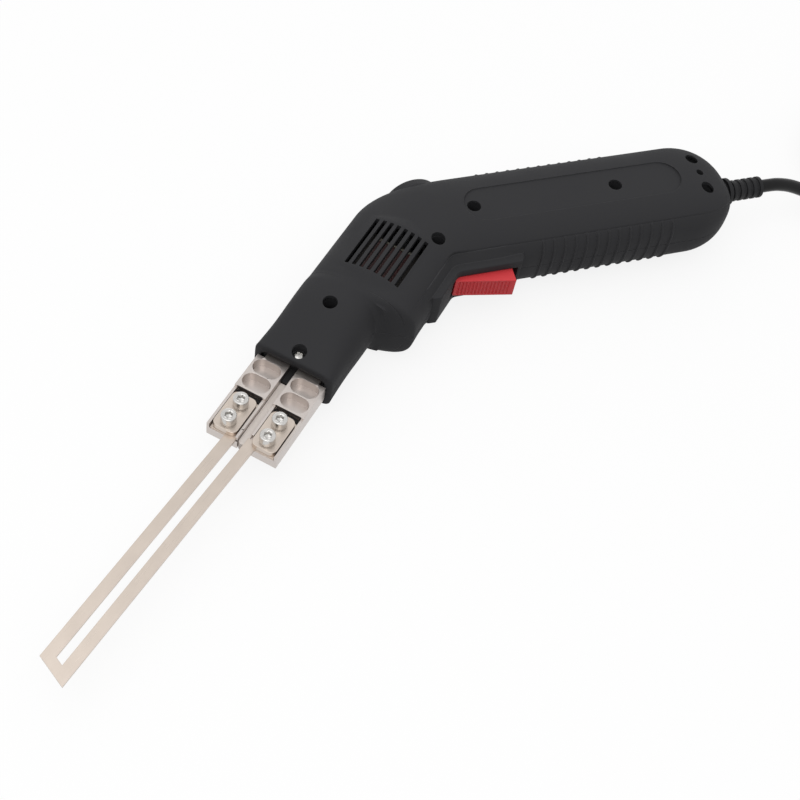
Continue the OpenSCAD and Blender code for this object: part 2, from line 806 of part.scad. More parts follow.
// Laminated core with two windows round its middle leg
window_l = core_l - 2 * yoke_w;
window_w = (core_w - leg_w) / 2 - yoke_w;
module core_frame() { nose_frame() translate([core_back, barrel_side, 0]) children(); }
module transformer_core() {
    color("#6d6a66") placed() core_frame() difference() {
        translate([0, -core_w / 2, -core_t / 2]) cube([core_l, core_w, core_t]);
        for (side = [-1, 1]) translate([yoke_w, side * (leg_w + window_w) / 2 - window_w / 2, -core_t])
            cube([window_l, window_w, 2 * core_t]);
    }
}

// Rectangular tube round the middle leg
module leg_tube(l, inner, t) {
    w = leg_w + 2 * inner;
    h = core_t + 2 * inner;
    rotate([90, 0, 90]) linear_extrude(l) difference() {
        translate([-w / 2 - t, -h / 2 - t]) square([w + 2 * t, h + 2 * t]);
        translate([-w / 2, -h / 2]) square([w, h]);
    }
}
bobbin_l = window_l - 2 * bobbin_play;
module transformer_bobbin() {
    color("#e8e2d0") placed() core_frame() translate([yoke_w + bobbin_play, 0, 0]) {
        leg_tube(bobbin_l, fit, bobbin_wall);
        for (x = [0, bobbin_l - flange_t]) translate([x, 0, 0])
            leg_tube(flange_t, fit, bobbin_wall + wind_t);
    }
}
module primary_winding() {
    color("#a3302c") placed() core_frame() translate([yoke_w + bobbin_play + flange_t + fit, 0, 0])
        leg_tube(bobbin_l - 2 * flange_t - 2 * fit, 2 * fit + bobbin_wall, wind_t - flange_play - 2 * fit);
}

// Small axial fan that draws air over the transformer
module fan_place() {
    nose_frame() translate([fan_back, fan_side, 0]) rotate([90, 0, 90]) children();
}
module fan_frame() {
    color("#202022") placed() fan_place() {
        difference() {
            translate([-fan_size / 2, -fan_size / 2, 0]) cube([fan_size, fan_size, fan_t]);
            translate([0, 0, -over]) cylinder(d = fan_bore_d, h = fan_t + 2 * over);
        }
        difference() {
            union() {
                cylinder(d = fan_boss_d, h = fan_boss_t);
                for (k = [0 : fan_arms - 1]) rotate([0, 0, 360 * k / fan_arms])
                    translate([0, -fan_arm_w / 2, 0])
                    cube([fan_size / 2 - gap, fan_arm_w, fan_boss_t]);
            }
            translate([0, 0, -over]) cylinder(d = fan_axle_d + 2 * run, h = fan_t);
        }
    }
}
module fan_rotor() {
    reach = fan_bore_d / 2 - fan_tip_gap;
    base = fan_boss_t + gap;
    color("#2b2b2e") placed() fan_place() {
        translate([0, 0, base]) cylinder(d = fan_hub_d, h = fan_hub_t);
        cylinder(d = fan_axle_d, h = base + fan_hub_t / 2);
        intersection() {
            for (k = [0 : fan_blades - 1]) rotate([0, 0, 360 * k / fan_blades])
                translate([fan_hub_d / 2 - over, 0, base + fan_hub_t / 2]) rotate([fan_blade_pitch, 0, 0])
                    translate([0, -fan_blade_w / 2, -fan_blade_t / 2])
                        cube([reach, fan_blade_w, fan_blade_t]);
            translate([0, 0, base]) cylinder(r = reach, h = fan_hub_t);
        }
    }
}

// Control board under the spine, with the potentiometer that the dial turns
module control_board() {
    color("#2f6b3a") placed() dial_frame()
        translate([board_front, board_y, -board_w / 2]) cube([board_l, board_t, board_w]);
}
module potentiometer() {
    color("#8a8d91") placed() dial_frame() along_y() difference() {
        translate([0, 0, -pot_drop - pot_h]) cylinder(d = pot_d, h = pot_h);
        translate([0, 0, -pot_drop - pot_h - over]) cylinder(d = shaft_d + 2 * run, h = pot_h + 2 * over);
    }
}
module potentiometer_shaft() {
    color("#c9c9c4") placed() dial_frame() along_y()
        translate([0, 0, -pot_drop - shaft_in])
            cylinder(d = shaft_d, h = pot_drop + shaft_in + gap + dial_h - dial_round - fit);
}
module dial() {
    r = dial_d / 2;
    color("#2a2a2c") placed() dial_frame() along_y() translate([0, 0, gap]) difference() {
        rotate_extrude() {
            square([r - dial_round, dial_h]);
            square([r, dial_h - dial_round]);
            translate([r - dial_round, dial_h - dial_round]) circle(r = dial_round);
        }
        translate([0, 0, -over]) cylinder(d = shaft_d + 2 * run, h = dial_h - dial_round + over);
        translate([-pointer_w / 2, r / 2, dial_h - pointer_depth])
            cube([pointer_w, r, pointer_depth + over]);
    }
}
module triac() {
    color("#1b1b1d") placed() dial_frame()
        translate([triac_at, board_y - triac_t, -triac_w / 2]) cube([triac_l, triac_t, triac_w]);
}
module capacitor() {
    color("#c9a13a") placed() dial_frame()
        translate([cap_at, board_y - cap_h, -cap_w / 2]) cube([cap_l, cap_h, cap_w]);
}

// Switch behind the trigger, with a plunger that the trigger pushes in
tip_y = pivot_y - trigger_top + gap;
module switch_body() {
    color("#26262a") placed() difference() {
        translate([switch_front, switch_y, -switch_w / 2]) cube([switch_l, switch_h, switch_w]);
        translate([plunger_x, switch_y - over, 0]) along_y()
            cylinder(d = plunger_d + 2 * run, h = over + plunger_in + plunger_travel + over);
    }
}
module switch_plunger() {
    color("#e6e2d6") placed() translate([plunger_x, tip_y, 0]) along_y()
        cylinder(d = plunger_d, h = switch_y + plunger_in - tip_y);
}

// Trigger: a lever that turns on the pin at its front end
module trigger() {
    face_front = [trigger_front, -half_h - trigger_proud_front];
    face_rear = [trigger_front + trigger_l, -half_h - trigger_proud_rear];
    top = pivot_y - trigger_top;
    hook_y = -half_h + wall + trigger_top / 2;
    tilt = atan2(face_rear[1] - face_front[1], face_rear[0] - face_front[0]);
    color("#cd4146") placed() difference() {
        translate([0, 0, -trigger_w / 2]) union() {
            linear_extrude(trigger_w) polygon([
                face_front, face_rear, [face_rear[0] + over, hook_y],
                [face_rear[0] + over + hook_l, hook_y],
                [face_rear[0] + over + hook_l, hook_y + hook_t], [face_rear[0] + over, hook_y + hook_t],
                [face_rear[0], top], [pivot_x, top], [pivot_x - pivot_ear_r, pivot_y]]);
            translate([pivot_x, pivot_y, 0]) cylinder(r = pivot_ear_r, h = trigger_w);
        }
        translate([pivot_x, pivot_y, -trigger_w]) cylinder(d = pivot_d + 2 * run, h = 2 * trigger_w);
        translate([face_front[0], face_front[1], 0]) rotate([0, 0, tilt])
            for (k = [1 : trigger_groove_count - 1])
                translate([k * trigger_groove_pitch, -over, trigger_groove_in - trigger_w / 2])
                    cube([trigger_groove_w, over + trigger_groove_depth, trigger_w - 2 * trigger_groove_in]);
    }
}
module trigger_pin() {
    color("#b9bbbe") placed() translate([pivot_x, pivot_y, -pivot_l / 2 + gap])
        cylinder(d = pivot_d, h = pivot_l - 2 * gap);
}

// Ribbed strain relief, held by its flange inside the rear end
module cord_boot() {
    back = grip_reach + rear_l;
    ring_l = (boot_l - boot_collar_l) / boot_rings;
    color("#1c1c1e") placed() translate([back, 0, 0]) along_x() difference() {
        rotate_extrude() {
            translate([0, -boot_in_l]) square([boot_flange_d / 2, boot_flange_l]);
            translate([0, -boot_in_l]) square([boot_neck_d / 2, boot_in_l + boot_collar_l]);
            square([boot_collar_d / 2, boot_collar_l]);
            square([boot_d / 2 - boot_groove, boot_l]);
            for (k = [0 : boot_rings - 1]) translate([0, boot_collar_l + (k + boot_ring_share) * ring_l])
                square([boot_d / 2, ring_l * boot_ring_share]);
        }
        translate([0, 0, -boot_in_l - over])
            cylinder(d = cord_d + 2 * run, h = boot_in_l + boot_l + 2 * over);
    }
}

// Bar that presses the cord on its saddle
clamp_low = -cord_r - fit;
module cord_clamp() {
    color("#3a3a3c") placed() translate([clamp_bar_x, 0, 0]) difference() {
        union() {
            translate([0, -clamp_bar_w / 2, cord_r + fit]) cube([clamp_bar_l, clamp_bar_w, clamp_bar_t]);
            translate([0, -saddle_w / 2, clamp_low - half_t / 2]) cube([clamp_bar_l, saddle_w, half_t / 2]);
        }
        for (side = [-1, 1]) translate([clamp_bar_l / 2, side * clamp_screw_spread / 2, -half_t])
            cylinder(d = clamp_screw_d + 2 * run, h = grip_t);
    }
}
module cord_clamp_screws() {
    seat = cord_r + fit + clamp_bar_t;
    length = cord_d + clamp_bar_t + half_t / 4;
    color("#c2c4c6") placed() for (side = [-1, 1])
        translate([clamp_bar_x + clamp_bar_l / 2, side * clamp_screw_spread / 2, seat])
            pan_screw(clamp_screw_d, clamp_screw_head_d, clamp_screw_head_h, length);
}

// Round tube swept along points, with flat ends square to the path
function path_dir(p, i) = unit(p[min(i + 1, len(p) - 1)] - p[max(i - 1, 0)]);
function ring_at(c, dir, r, sides) = let (
    side = unit(cross([0, 0, 1], dir)),
    up = cross(dir, side)) [
    for (k = [0 : sides - 1]) let (angle = 360 * (k + mid_share) / sides)
        c + r * (cos(angle) * side + sin(angle) * up)];
module tube(path, r, sides) {
    last = len(path) - 1;
    rings = [for (i = [0 : last]) ring_at(path[i], path_dir(path, i), r, sides)];
    walls = [for (i = [0 : last - 1]) for (k = [0 : sides - 1]) let (
        a = i * sides + k, b = i * sides + (k + 1) % sides)
        each [[a, a + sides, b + sides], [a, b + sides, b]]];
    polyhedron([for (r = rings) each r],
        concat(walls, [[for (k = [0 : sides - 1]) k]], [[for (k = [sides - 1 : -1 : 0]) last * sides + k]]),
        convexity = 10);
}

// Coil: the loops spiral in, climb one layer and spiral out again
route_end = cord_route[len(cord_route) - 1];
coil_z = cord_r + tie_t + tie_gap - mid_z;
coil_half = coil_turns / 2;
coil_outer_r = coil_inner_r + coil_step * coil_half;
coil_dir = [-sin(coil_start_angle), cos(coil_start_angle), 0];
coil_start = [exit_x, 0, 0] + [route_end[0], route_end[1], coil_z] + cord_d * coil_dir;
coil_mid = coil_start - coil_outer_r * [cos(coil_start_angle), sin(coil_start_angle), 0];
function climb(t) = coil_step * min(1, max(0, (t - coil_half) / coil_climb_share + mid_share));
function loop_point(t) = let (
    angle = coil_start_angle + 360 * t,
    r = coil_inner_r + coil_step * abs(t - coil_half))
    coil_mid + [r * cos(angle), r * sin(angle), climb(t)];
loop_points = [for (k = [0 : coil_turns * coil_rings]) loop_point(k / coil_rings)];
coil_finish = loop_point(coil_turns) + plug_lead * coil_dir;
coil_path = concat([coil_start - cord_d * coil_dir], loop_points, [coil_finish]);
loop_last = len(loop_points) - 1;
coil_self_gap = min([for (i = [0 : loop_last]) for (j = [i + coil_apart : 1 : loop_last])
    norm(loop_points[i] - loop_points[j])]) - cord_d;
cord_path = [for (p = cord_route) [exit_x, 0, 0] + p];
echo(coil_self_gap = coil_self_gap);

module cord() { color("#161617") placed() tube(cord_path, cord_r, cord_sides); }
module cord_coil() { color("#161617") placed() tube(coil_path, cord_r, coil_sides); }

// Strap round the bundle of loops
module coil_tie() {
    low = coil_inner_r - cord_r - tie_gap;
    high = coil_outer_r + cord_r + tie_gap;
    w = high - low;
    h = cord_d + coil_step + 2 * tie_gap;
    color("#2c2c2e") placed() translate(coil_mid) rotate([0, 0, tie_angle])
        translate([low, tie_w / 2, -cord_r - tie_gap]) rotate([90, 0, 0]) linear_extrude(tie_w)
            difference() {
                translate([-tie_t, -tie_t])
                    rounded_plate(w + 2 * tie_t, h + 2 * tie_t, tie_round + tie_t);
                rounded_plate(w, h, tie_round);
            }
}

// Two-pin plug at the free end of the coil
module plug_frame() {
    translate(coil_finish + run * coil_dir) rotate([0, 0, coil_start_angle + 90]) children();
}
plug_l = plug_tail_l + plug_grip_l + plug_face_l;
module plug_outline(w, h) {
    for (side = [-1, 1]) translate([side * (w - h) / 2, 0]) circle(d = h, $fn = hull_fn);
    translate([-(w - h) / 2, -h / 2]) square([w - h, h]);
}
module plug_slab(x, l, w, h) {
    translate([x, 0, 0]) rotate([90, 0, 90]) linear_extrude(l) plug_outline(w, h);
}
module plug_body() {
    grip_h_small = plug_h * plug_grip_share;
    slab = over / 2;
    color("#1a1a1c") placed() plug_frame() {
        along_x() cylinder(d = plug_tail_d, h = plug_tail_l + over);
        hull() {
            plug_slab(plug_tail_l, slab, plug_w * plug_grip_share, grip_h_small);
            plug_slab(plug_tail_l + plug_grip_l, slab, plug_w, plug_h);
        }
        plug_slab(plug_tail_l + plug_grip_l, plug_face_l, plug_w, plug_h);
    }
}
module plug_pins() {
    color("#d6d2c4") placed() plug_frame() for (side = [-1, 1])
        translate([plug_l, side * pin_pitch / 2, 0]) along_x() {
            cylinder(d = pin_d, h = pin_l - pin_d / 2);
            translate([0, 0, pin_l - pin_d / 2]) sphere(d = pin_d);
        }
}

upper_shell();
lower_shell();
shell_screws();
nose_screw();
spine_terminal();
trigger_terminal();
spine_clamp_plate();
trigger_clamp_plate();
clamp_screws();
clamp_washers();
blade();
nose_insulator();
secondary_straps();
transformer_core();
transformer_bobbin();
primary_winding();
fan_frame();
fan_rotor();
control_board();
potentiometer();
potentiometer_shaft();
dial();
triac();
capacitor();
switch_body();
switch_plunger();
trigger();
trigger_pin();
cord_boot();
cord_clamp();
cord_clamp_screws();
cord();
cord_coil();
coil_tie();
plug_body();
plug_pins();
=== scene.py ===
"""Looks of an electric hot knife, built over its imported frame.

Lengths in the drawing are millimetres from the point where the axes of the grip and the nose cross:
x runs along the grip to the cord, y to its spine and z up from the parting plane of the two shells.
On the nose, a runs forward and b out to the trigger side.
"""

import json
import math
from types import SimpleNamespace as Sizes

import bmesh
import bpy
import numpy as np
from mathutils import Matrix, Vector


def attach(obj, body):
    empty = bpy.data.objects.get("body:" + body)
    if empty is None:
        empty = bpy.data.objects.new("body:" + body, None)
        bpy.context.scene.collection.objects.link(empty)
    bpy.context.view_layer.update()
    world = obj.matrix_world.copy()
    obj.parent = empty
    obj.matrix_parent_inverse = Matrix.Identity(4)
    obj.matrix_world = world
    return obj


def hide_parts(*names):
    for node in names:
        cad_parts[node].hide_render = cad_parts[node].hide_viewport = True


bl_info = {
    "name": "Hot knife",
    "version": (1, 0, 0),
    "blender": (4, 5, 0),
    "location": "View3D > Sidebar > Hot knife",
    "description": "Builds the looks of an electric hot knife over its packed frame",
    "category": "Object",
}

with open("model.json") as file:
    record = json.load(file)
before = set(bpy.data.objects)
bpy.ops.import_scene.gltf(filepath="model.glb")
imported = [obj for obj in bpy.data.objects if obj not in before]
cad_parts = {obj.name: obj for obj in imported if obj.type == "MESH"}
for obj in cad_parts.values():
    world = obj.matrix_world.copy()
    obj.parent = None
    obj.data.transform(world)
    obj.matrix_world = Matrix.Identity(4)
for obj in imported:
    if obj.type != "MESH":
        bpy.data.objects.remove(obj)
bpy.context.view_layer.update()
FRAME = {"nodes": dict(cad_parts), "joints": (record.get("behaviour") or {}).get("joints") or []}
NODES = FRAME["nodes"]
MM = 0.001

# The trigger's pivot ties the drawing to the frame
PIVOT_DRAWN = np.array((27.0, -23.0, 0.0))
PIVOT = np.array(next(j["pos_m"] for j in FRAME["joints"] if j["name"] == "trigger_pull"))
CROSSING = PIVOT - PIVOT_DRAWN * MM

# Edges sharper than this stay crisp, and points nearer than this become one
SHARP = math.radians(32)
WELD = 0.002 * MM
TINY = 1e-9
# Points on round shapes, and sections along the housing's curved stretches
POINTS = Sizes(
    circle=40, dial=96, pad=64, cap=48, end=24, spacer=16, corner=8, dome=8, rim=5,
    turn=8, frame_turn=6, span=4,
)
SECTIONS = Sizes(lip=6, chin=24, bend=48, rear=34)

# Housing sections
BEND = math.radians(45)
ALONG = np.array((-math.cos(BEND), -math.sin(BEND)))
ACROSS = np.array((math.sin(BEND), -math.cos(BEND)))
GRIP_HALF = 28.0
HALF_T = 20.0
NOSE_HALF = 20.0
NOSE_REACH = 93.0
LIP_HALF = 11.0
LIP_ROUND = 1.0
WEDGE_L = 32.0
WEDGE_SOFT = 1.5
CHIN_D = 37.0
CHIN_REACH = 43.5
CHIN_SLOPE = 8.0
CHIN_BACK = 19.0
CHIN_BLEND = 3.0
UNDER_CORNER = np.array((22.5, -GRIP_HALF))
UNDER_END = 42.0
SPINE_END = 35.0
GRIP_REACH = 156.0
REAR_L = 30.5
REAR_TURN = 82.0
WALL = 2.6
# Squareness of the sections, and how fast it fades behind the lip
LIP_POWER = 6.0
BODY_POWER = 2.8
LIP_FADE = 4
RING_POINTS = 84
RING_FINE = 1200
RING_GAP = 0.15
STEP = 1.1
LEAST_STEP_SHARE = 0.125

# Barrel round the transformer, with coned ends, bowed across more flatly than it is high
BARREL_R = 22.0
BARREL_BOW = 40.0
BARREL_SIDE = 8.0
BARREL_BACK = 3.5
BARREL_FRONT = 37.3
CONE_BACK = Sizes(length=8.0, drop=2.6)
CONE_FRONT = Sizes(length=12.0, drop=3.8)
BARREL_SIDES = (-11.3, 23.0)
BARREL_EDGE = 0.9
BARREL_SOFT = 0.14
BARREL_SINK_SHARE = 0.05

# Grip ribs, and the crease above the underside ribs
RIB_COUNT = 13
SPINE_RIB = Sizes(front=54.0, pitch=5.7, width=2.4, height=1.0, top=11.7, fade=1.6)
UNDER_RIB = Sizes(front=70.6, pitch=5.9, width=1.5, height=0.75, top=14.6, fade=1.2)
RIB_SHARES = (-0.62, -0.5, -0.36, -0.18, 0.0, 0.18, 0.36, 0.5, 0.62)
CREASE = Sizes(y=-23.6, b=33.0)
CREASE_BEND = 1.6
CREASE_W = 0.42
CREASE_ENDS = (43.0, 185.0)
CREASE_FADE = 8.0
BAND_STEP = 0.9
CREASE_OFFSETS = (-1.0, -0.5, -0.22, 0.0, 0.22, 0.5, 1.0)
PARTING_OFFSETS = (0.3, 0.75)
PARTING_DROP = 0.28

# Cuts, and two lengths that reach past everything
TOP = 30.0
DEEP = 70.0
PANEL = Sizes(front=37.0, length=117.0, width=21.0, depth=0.9)
SLOTS = Sizes(count=8, front=36.8, length=32.0, width=2.0, pitch=3.74, low=12.5)
SINK_R = 3.5
CUP_R = 4.6
CUP_FLOOR = 2.0
# Screw wells: where they are, and the heights of the floor and the rim
WELLS = (
    ((42.0, 0.0), 8.0, 17.9), ((118.0, 0.0), 8.0, 17.9), ((166.0, 10.0), 8.0, 16.6),
    ((166.0, -10.0), 8.0, 16.6), ((18.0, -16.4), 8.0, 16.6), (61.0 * ALONG, 8.0, 17.9),
    (88.0 * ALONG, 8.1, 10.9),
)
SPARE_HOLE = Sizes(x=166.0, r=2.0, low=15.0)
BOOT_HOLE_R = 5.55
DIAL = Sizes(x=20.0, y=22.6, lean=4.0, pad_r=15.5, pad=3.6, recess_r=15.1)

# Frame round the trigger's opening, its foot on either shell, and the sloped strip above it
TRIGGER_GAP = Sizes(front=21.5, rear=56.5, half=6.1, top=-22.0)
FRAME_TOP = 10.2
FRAME_OUT = -31.2
FRAME_REAR = 60.0
FRAME_TURN = 2.0
FRAME_EDGE = 0.6
RAMP = Sizes(back=8.0, out=39.9, inner=33.0)
UPPER_FOOT = Sizes(front=23.2, toe=26.0, lean=0.0)
LOWER_FOOT = Sizes(front=22.8, toe=25.4, lean=0.4)
LEAN = np.array((-math.tan(BEND / 2), 1.0))
STRIP_OUT = Sizes(y=-27.1, b=36.0)
STRIP = Sizes(
    top=13.9, sink=0.9, taper=12.0, toe=4.0, past=2.5, skin=0.15, inner=5.0, far=10.0,
    turn=3.5,
)

# Blade clamp, from its solids: places along the nose and out to either side
RIM_STEP = Sizes(back=113.8, front=140.0, side=20.0, low=3.4)
RIM_END = Sizes(back=131.4, front=136.8, inner=2.0, outer=3.3, low=1.6)
PLATE = Sizes(
    back=116.0, front=136.5, side=9.75, half=6.05, round=3.0, low=1.5, high=4.3,
    hole_r=2.2,
)
CAP_PLACES = (131.7, 121.5)
CAP_SCREW = Sizes(
    seat=5.3, head_r=3.5, head=4.0, edge=0.55, socket=3.2, lead=0.3, depth=2.3,
    cone=0.7, shank_r=2.0, shank=9.8,
)
LIP_SCREW = Sizes(a=88.0, seat=8.1, head_r=2.6, head=1.7, side=0.8, shank_r=1.4, shank=14.0)
LIP_CROSS = Sizes(half=1.5, width=0.6, low=9.1)
STOP_BAR = Sizes(back=113.9, front=115.8, half=6.2, low=1.5, high=2.3)
SPACER = Sizes(back=100.0, front=137.3, half=1.95, low=-4.4, high=1.0)
# Black piece in front of the nose insulator that fills the dark gap between the terminal blocks: painted
# shade
SHADE_FILLER = Sizes(back=91.5, half=1.95, low=-4.4, high=2.6)
SIXTH = math.pi / 3

# Places that the cord's nodes take from its solids
CORD_D = 7.0
CORD_ROUND = 5
EXIT_X = 207.5
CORD_ROUTE = (
    (0, 0, 0), (6, 0, 0), (12, 0, -0.5), (20, -0.5, -2.5), (28, -2, -5.5), (35.5, -4, -9),
    (43, -7, -12.5), (50, -11, -15), (56.5, -15.5, -16.5), (60, -18.5, -17), (63, -21.5, -17),
)
COIL_TURNS = 7
COIL_RINGS = 48
COIL_INNER_R = 27.0
COIL_STEP = 7.6
COIL_START = math.radians(225)
COIL_CLIMB_SHARE = 0.5
COIL_Z = -17.0
PLUG_LEAD = 34.0

# Rounded edges of the frame's solids
FINE_EDGE = 0.2 * MM
SOFT_EDGE = 0.3 * MM
BOOT_EDGE = 0.25 * MM
PLUG_EDGE = 0.9 * MM
METAL_EDGE = 0.1 * MM
EDGE_SEGMENTS = 2

# Camera, from the photograph's perspective
CAMERA_DRAWN = (-186.0, -398.5, 493.0)
CAMERA_RIGHT = (0.94563, -0.29939, 0.12715)
CAMERA_UP = (0.17915, 0.80566, 0.56465)
CAMERA_BACK = (-0.27150, -0.51117, 0.81548)
SENSOR_W = 36.0
CLIP_START = 0.01

# Floor, and the softboxes in metres: name, place, side and the property that holds the power
FLOOR_HALF = 4.0
FLOOR_DROP = 0.05 * MM
FLOOR_GLOW_SHARE = 0.85
WHITE = (1.0, 1.0, 1.0, 1.0)
SOFTBOXES = (
    ("softbox", (-0.4, 0.1, 1.15), 0.8, "key"),
    ("rim", (0.3, 1.05, 0.42), 0.7, "rim"),
    ("fill", (-0.3, -0.55, 1.0), 0.7, "fill"),
)

# Most of a noise pattern lies in this span
NOISE_SPAN = (0.3, 0.7)
BEVEL_SAMPLES = 4
# A wave pattern of scale 1 has one band in this length
WAVE_BAND = math.pi / 20
# Sparked grain in mm. The real one is about 0.1 mm, and is drawn at 0.8 mm so that it shows
SPARK = Sizes(
    grain=0.8, detail=3.0, cloud=22.0, cloud_detail=4.0, deep=0.12, strength=0.22, rough=(0.68, 0.8),
    tone=(0.93, 1.05))
# How far the rounded normal leaves the flat one at an edge, and how much painted highlight that edge gets
EDGE_HIGHLIGHT_SPAN = (0.98, 0.85)
EDGE_HIGHLIGHT_SHARES = (0.0, 0.7)
# Grain or marks as (length, width) in mm, a few times coarser than the real ones so that they show,
# with their turn about z in degrees
PLASTIC = {
    "metallic": 0.0, "sheen": 0.25, "mark": (0.7, 0.7), "turn": 0, "detail": 2.0, "strength": 0.12,
    "deep": 0.08, "cloud": 14.0, "cloud_detail": 3.0, "spread": 0.05, "tone_share": 1.08,
}
METAL = {
    "metallic": 1.0, "sheen": 0.5, "turn": 0, "detail": 3.0, "strength": 0.1, "deep": 0.05,
    "cloud": 9.0, "cloud_detail": 4.0, "spread": 0.07, "tone_share": 0.86,
}
FINISHES = {
    # Drawn through a die: even and shiny, with long soft highlights
    "PVC sheath, extruded": {**PLASTIC, "rough": 0.22, "mark": (1.2, 1.2), "sheen": 0.22},
    # Out of a blasted tool: dull, with wide highlights
    "rubber, moulded": {**PLASTIC, "rough": 0.5},
    "ABS, red, moulded": {**PLASTIC, "rough": 0.42},
    "nylon, black, moulded": {**PLASTIC, "rough": 0.5},
    "phenolic, black, moulded": {**PLASTIC, "rough": 0.55, "colour": "#161617"},
    "nylon, natural, moulded": {**PLASTIC, "rough": 0.45, "colour": "#e8e3d2"},
    # Ivory nylon drawn much darker than it is: painted shade of the bobbin deep behind the vents
    "nylon, ivory, moulded": {**PLASTIC, "rough": 0.5, "colour": "#726e64"},
    "polyester, black, moulded": {**PLASTIC, "rough": 0.5, "colour": "#222224"},
    # Threads, fibres and flakes: matt and slightly uneven
    "nylon strap, woven": {**PLASTIC, "rough": 0.6, "mark": (0.5, 0.5)},
    "glass mica, pressed": {**PLASTIC, "rough": 0.6, "mark": (0.5, 0.5)},
    "fibre, black, stamped": {**PLASTIC, "rough": 0.7, "mark": (0.5, 0.5), "colour": "#151415"},
    # A poured skin: smooth and glossy
    "glass laminate, green mask": {**PLASTIC, "rough": 0.35, "colour": "#2f6b3a"},
    "polyester box, yellow": {**PLASTIC, "rough": 0.3, "colour": "#c9a13a"},
    # Plated after milling across: pale, with soft cross marks
    "brass, milled and nickel plated": {
        **METAL, "rough": 0.36, "turn": 135, "mark": (5.0, 0.25), "strength": 0.25},
    # Rolled along: warm and satin, with long fine lines
    "nickel alloy strip, rolled": {
        **METAL, "rough": 0.34, "turn": 42, "mark": (14.0, 0.22), "strength": 0.35},
    "copper, rolled": {
        **METAL, "rough": 0.3, "turn": 45, "mark": (8.0, 0.3), "strength": 0.2, "colour": "#b87346"},
    # Turned or drawn bright: small hard highlights
    "steel, bright, turned": {**METAL, "rough": 0.22, "turn": 20, "mark": (2.0, 0.3), "strength": 0.15},
    "steel, drawn": {**METAL, "rough": 0.3, "mark": (4.0, 0.2), "strength": 0.15, "colour": "#b9bbbe"},
    # A thin coat over the metal: smooth, bright where plated and near black where oxidised
    "steel, zinc plated": {**METAL, "rough": 0.24, "turn": 60, "mark": (2.0, 0.3)},
    "brass, nickel plated": {**METAL, "rough": 0.25, "mark": (4.0, 0.3), "colour": "#d8d4c8"},
    "steel, black oxide": {**METAL, "rough": 0.45, "turn": 30, "mark": (2.0, 0.3)},
    # Pressed from sheet: grey and satin
    "aluminium, pressed": {**METAL, "rough": 0.35, "mark": (3.0, 0.4), "strength": 0.2, "colour": "#9a9c9f"},
}
# Layers in mm, about twice as thick as the real ones so that they show
LAYER_DEEP = 0.2
LAYER_STRENGTH = 0.6
LAYERS = {
    # Varnished sheets with darker lines between them; their dark grey is painted shade of the core deep
    # behind the vents
    "silicon steel, laminated": {
        "colour": "#3b3836", "gap": "#1a1817", "pitch": 0.9, "metallic": 0.8, "rough": 0.5},
    # Tape that follows the turns below: dark red and a little shiny
    "copper wire under red tape": {
        "colour": "#3a0f0e", "gap": "#180505", "pitch": 1.2, "metallic": 0.0, "rough": 0.4},
}


def linear(code):
    """Linear colour with alpha from an sRGB hex code."""
    values = [int(code[i:i + 2], 16) / 255 for i in (1, 3, 5)]
    return tuple(v / 12.92 if v <= 0.04045 else ((v + 0.055) / 1.055) ** 2.4 for v in values) + (1.0,)


def number_prop(name, description, default, least=0.0, **more):
    """A number that a user may change."""
    return bpy.props.FloatProperty(name=name, description=description, default=default, min=least, **more)


def length_prop(name, description, default):
    """A length in metres that a user may change."""
    return number_prop(name, description, default, precision=4, unit="LENGTH")


def power_prop(name, description, default):
    """A lamp's power that a user may change."""
    return number_prop(name, description, default, unit="POWER")


def colour_prop(name, description, code):
    """A colour that a user may change."""
    return bpy.props.FloatVectorProperty(
        name=name, description=description, default=linear(code), size=4, min=0.0, max=1.0, subtype="COLOR")


class HotKnifeHousing(bpy.types.PropertyGroup):
    """Sizes and colours of the moulded housing"""

    crease: length_prop("Crease depth", "Depth of the line above the underside ribs", 0.00045)
    band: length_prop("Band depth", "How far the underside band lies below the sides", 0.0003)
    edge: length_prop("Edge radius", "Radius that the eye sees on moulded edges", 0.0004)
    shell: colour_prop("Shell colour", "Charcoal of the two shells", "#2c2c2e")
    # Painted highlight: a lighter colour laid along every moulded edge, convex and concave
    edge_highlight: colour_prop("Edge highlight colour", "Lighter colour painted along every edge as a highlight", "#4a4a4c")
    trigger: colour_prop("Trigger colour", "Red of the trigger", "#c93a3f")
    dial: colour_prop("Dial colour", "Black of the heat dial", "#29292b")


class HotKnifeMetal(bpy.types.PropertyGroup):
    """Colours and edges of the blade and its clamp"""

    edge: length_prop("Edge break", "Width of the broken edges on machined pieces", 0.00025)
    terminal: colour_prop("Terminal colour", "Nickel plate of the terminal blocks", "#d0c8c3")
    strip: colour_prop("Strip colour", "Rolled strip of the blade and the plates", "#d2c6bb")
    screw: colour_prop("Screw colour", "Bright steel of the clamp screws", "#d2d0cd")
    oxide: colour_prop("Oxide colour", "Black oxide of the shell screws", "#1c1c1e")
    mica: colour_prop("Spacer colour", "Pressed mica between the terminal blocks", "#c9c1bb")


class HotKnifeCord(bpy.types.PropertyGroup):
    """Sizes and colours of the mains cord and its fittings"""

    diameter: length_prop("Cord diameter", "Outside diameter of the sheath", CORD_D * MM)
    sheath: colour_prop("Sheath colour", "Black of the cord's sheath", "#0d0d0e")
    rubber: colour_prop("Rubber colour", "Black of the strain relief and the plug", "#1b1b1d")
    strap: colour_prop("Strap colour", "Grey of the strap round the coil", "#2b2b2d")


